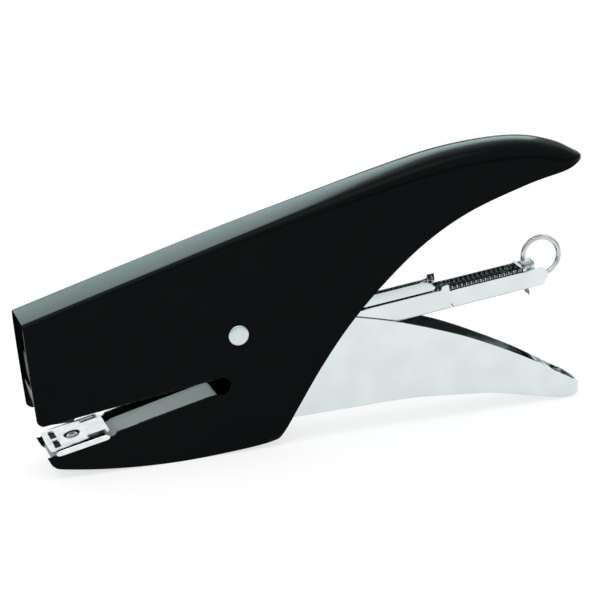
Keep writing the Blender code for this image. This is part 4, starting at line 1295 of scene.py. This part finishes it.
@dataclass
class Studio:
    """A pale table, a soft surround, three panel lights and the camera."""

    azimuth: float = 16.93
    elevation: float = 18.93
    roll: float = -2.09
    distance: float = 0.7
    lens: float = 132.3
    aim: tuple = (90.5, 0.0, 44.95)
    table_half: float = 3.0

    def table(self) -> None:
        """A matt white light table, glowing so that shadows stay faint, with a tooth like card."""
        t = np.linspace(-1.0, 1.0, 9) * self.table_half
        x, y = np.meshgrid(t, t)
        grid = side_points(x, y, 0.0) / MM
        top = Surface("table_top").add(grid - [NOSE / MM, 0.0, 0.0]).build()
        material = bpy.data.materials.new("white_card")
        material.use_nodes = True
        tree = material.node_tree
        shader = tree.nodes["Principled BSDF"]
        shader.inputs["Specular IOR Level"].default_value = 0.1
        place = add_node(tree, "TexCoord", {}, {}).outputs["Object"]
        tooth = add_node(tree, "TexNoise", {}, {"Vector": place, "Scale": 900.0}).outputs[0]
        shade = add_node(tree, "MapRange", {}, {0: tooth, 3: 0.30, 4: 0.33}).outputs[0]
        tree.links.new(shade, shader.inputs["Base Color"])
        shader.inputs["Roughness"].default_value = 0.8
        shader.inputs["Emission Color"].default_value = (1.0, 1.0, 1.0, 1.0)
        shader.inputs["Emission Strength"].default_value = 0.68
        top.data.materials.append(material)

    def surround(self) -> None:
        """World light by height: dim at the horizon, bright above it."""
        world = bpy.data.worlds.new("soft_surround")
        bpy.context.scene.world = world
        world.use_nodes = True
        tree = world.node_tree
        ray = add_node(tree, "TexCoord", {}, {}).outputs["Generated"]
        height = add_node(tree, "SeparateXYZ", {}, {0: ray}).outputs[2]
        sky = add_node(tree, "ValToRGB", {}, {0: height})
        colour_stops(sky, [(0.0, (0.5, 0.52, 0.53, 1.0)), (0.05, (0.22, 0.24, 0.25, 1.0)),
                           (0.20, (0.30, 0.33, 0.34, 1.0)), (0.40, (0.95, 0.97, 0.98, 1.0)),
                           (1.0, (1.0, 1.0, 1.0, 1.0))])
        tree.links.new(sky.outputs[0], tree.nodes["Background"].inputs[0])
        tree.nodes["Background"].inputs[1].default_value = 1.05

    def panel(self, name: str, place: tuple, size: tuple, watts: float, colour: str,
              *only: str, unshaded: bool = False) -> None:
        """Hang a rectangular panel light that faces the stapler.

        Args:
            name: the light's name.
            place: its centre, in metres.
            size: its width and height, in metres.
            watts: its power.
            colour: its colour, as a hex code.
            only: the pieces that it lights, or none of them to light everything.
            unshaded: let nothing but those pieces cast a shadow in its light.
        """
        light = bpy.data.lights.new(name, "AREA")
        light.shape = "RECTANGLE"
        light.size, light.size_y = size
        light.energy = watts
        light.color = linear(colour)[:3]
        lamp = bpy.data.objects.new(name, light)
        lamp.location = place
        lamp.rotation_euler = (Vector((0.0, 0.0, 0.05)) - Vector(place)).to_track_quat("-Z", "Y") \
            .to_euler()
        bpy.context.scene.collection.objects.link(lamp)
        if only:
            lit = bpy.data.collections.new(name + "_lit")
            for piece in only:
                lit.objects.link(bpy.data.objects[piece])
            lamp.light_linking.receiver_collection = lit
            if unshaded:
                lamp.light_linking.blocker_collection = lit

    def camera(self) -> None:
        """The camera, rolled a little, looking at the middle of the stapler."""
        a, e, roll = (math.radians(v) for v in (self.azimuth, self.elevation, self.roll))
        back = Vector((-math.sin(a) * math.cos(e), -math.cos(a) * math.cos(e), math.sin(e)))
        right = Vector((math.cos(a), -math.sin(a), 0.0))
        up = back.cross(right)
        turned_right = right * math.cos(roll) + up * math.sin(roll)
        turned_up = up * math.cos(roll) - right * math.sin(roll)
        aim = Vector((self.aim[0] * MM + NOSE, self.aim[1] * MM, self.aim[2] * MM))
        lens = bpy.data.cameras.new("camera")
        lens.lens = self.lens
        lens.sensor_width = 36.0
        lens.clip_start = 0.1
        view = bpy.data.objects.new("camera", lens)
        turn = Matrix((turned_right, turned_up, back)).transposed().to_4x4()
        view.matrix_world = Matrix.Translation(aim + back * self.distance) @ turn
        bpy.context.scene.collection.objects.link(view)
        bpy.context.scene.camera = view

    def make(self) -> None:
        """Set up the table, the light and the camera."""
        self.table()
        self.surround()
        self.panel("rear_panel", (0.0, 1.1, 0.52), (1.5, 0.42), 9.0, "#D6F7F5", "body_pressing")
        self.panel("throat_panel", (-0.1, -0.7, 0.9), (0.5, 0.5), 7.0, "#EEF8F6",
                   "jaw_channel_pressing", unshaded=True)
        self.panel("top_panel", (-0.2, -0.2, 1.3), (1.0, 1.0), 6.0, "#FFFFFF")
        self.camera()
        bpy.context.scene.view_settings.view_transform = "Standard"


def main() -> None:
    """Build every piece in order, then the studio."""
    logging.basicConfig(level=logging.INFO, format="%(name)s: %(message)s")
    for assembly in (BodyPressing(), LowerJaw(), MainPivot(), ReturnLeaf(), Handle(), Magazine(),
                     CoreRail()):
        assembly.make()
    Studio().make()


if __name__ == "__main__":
    main()
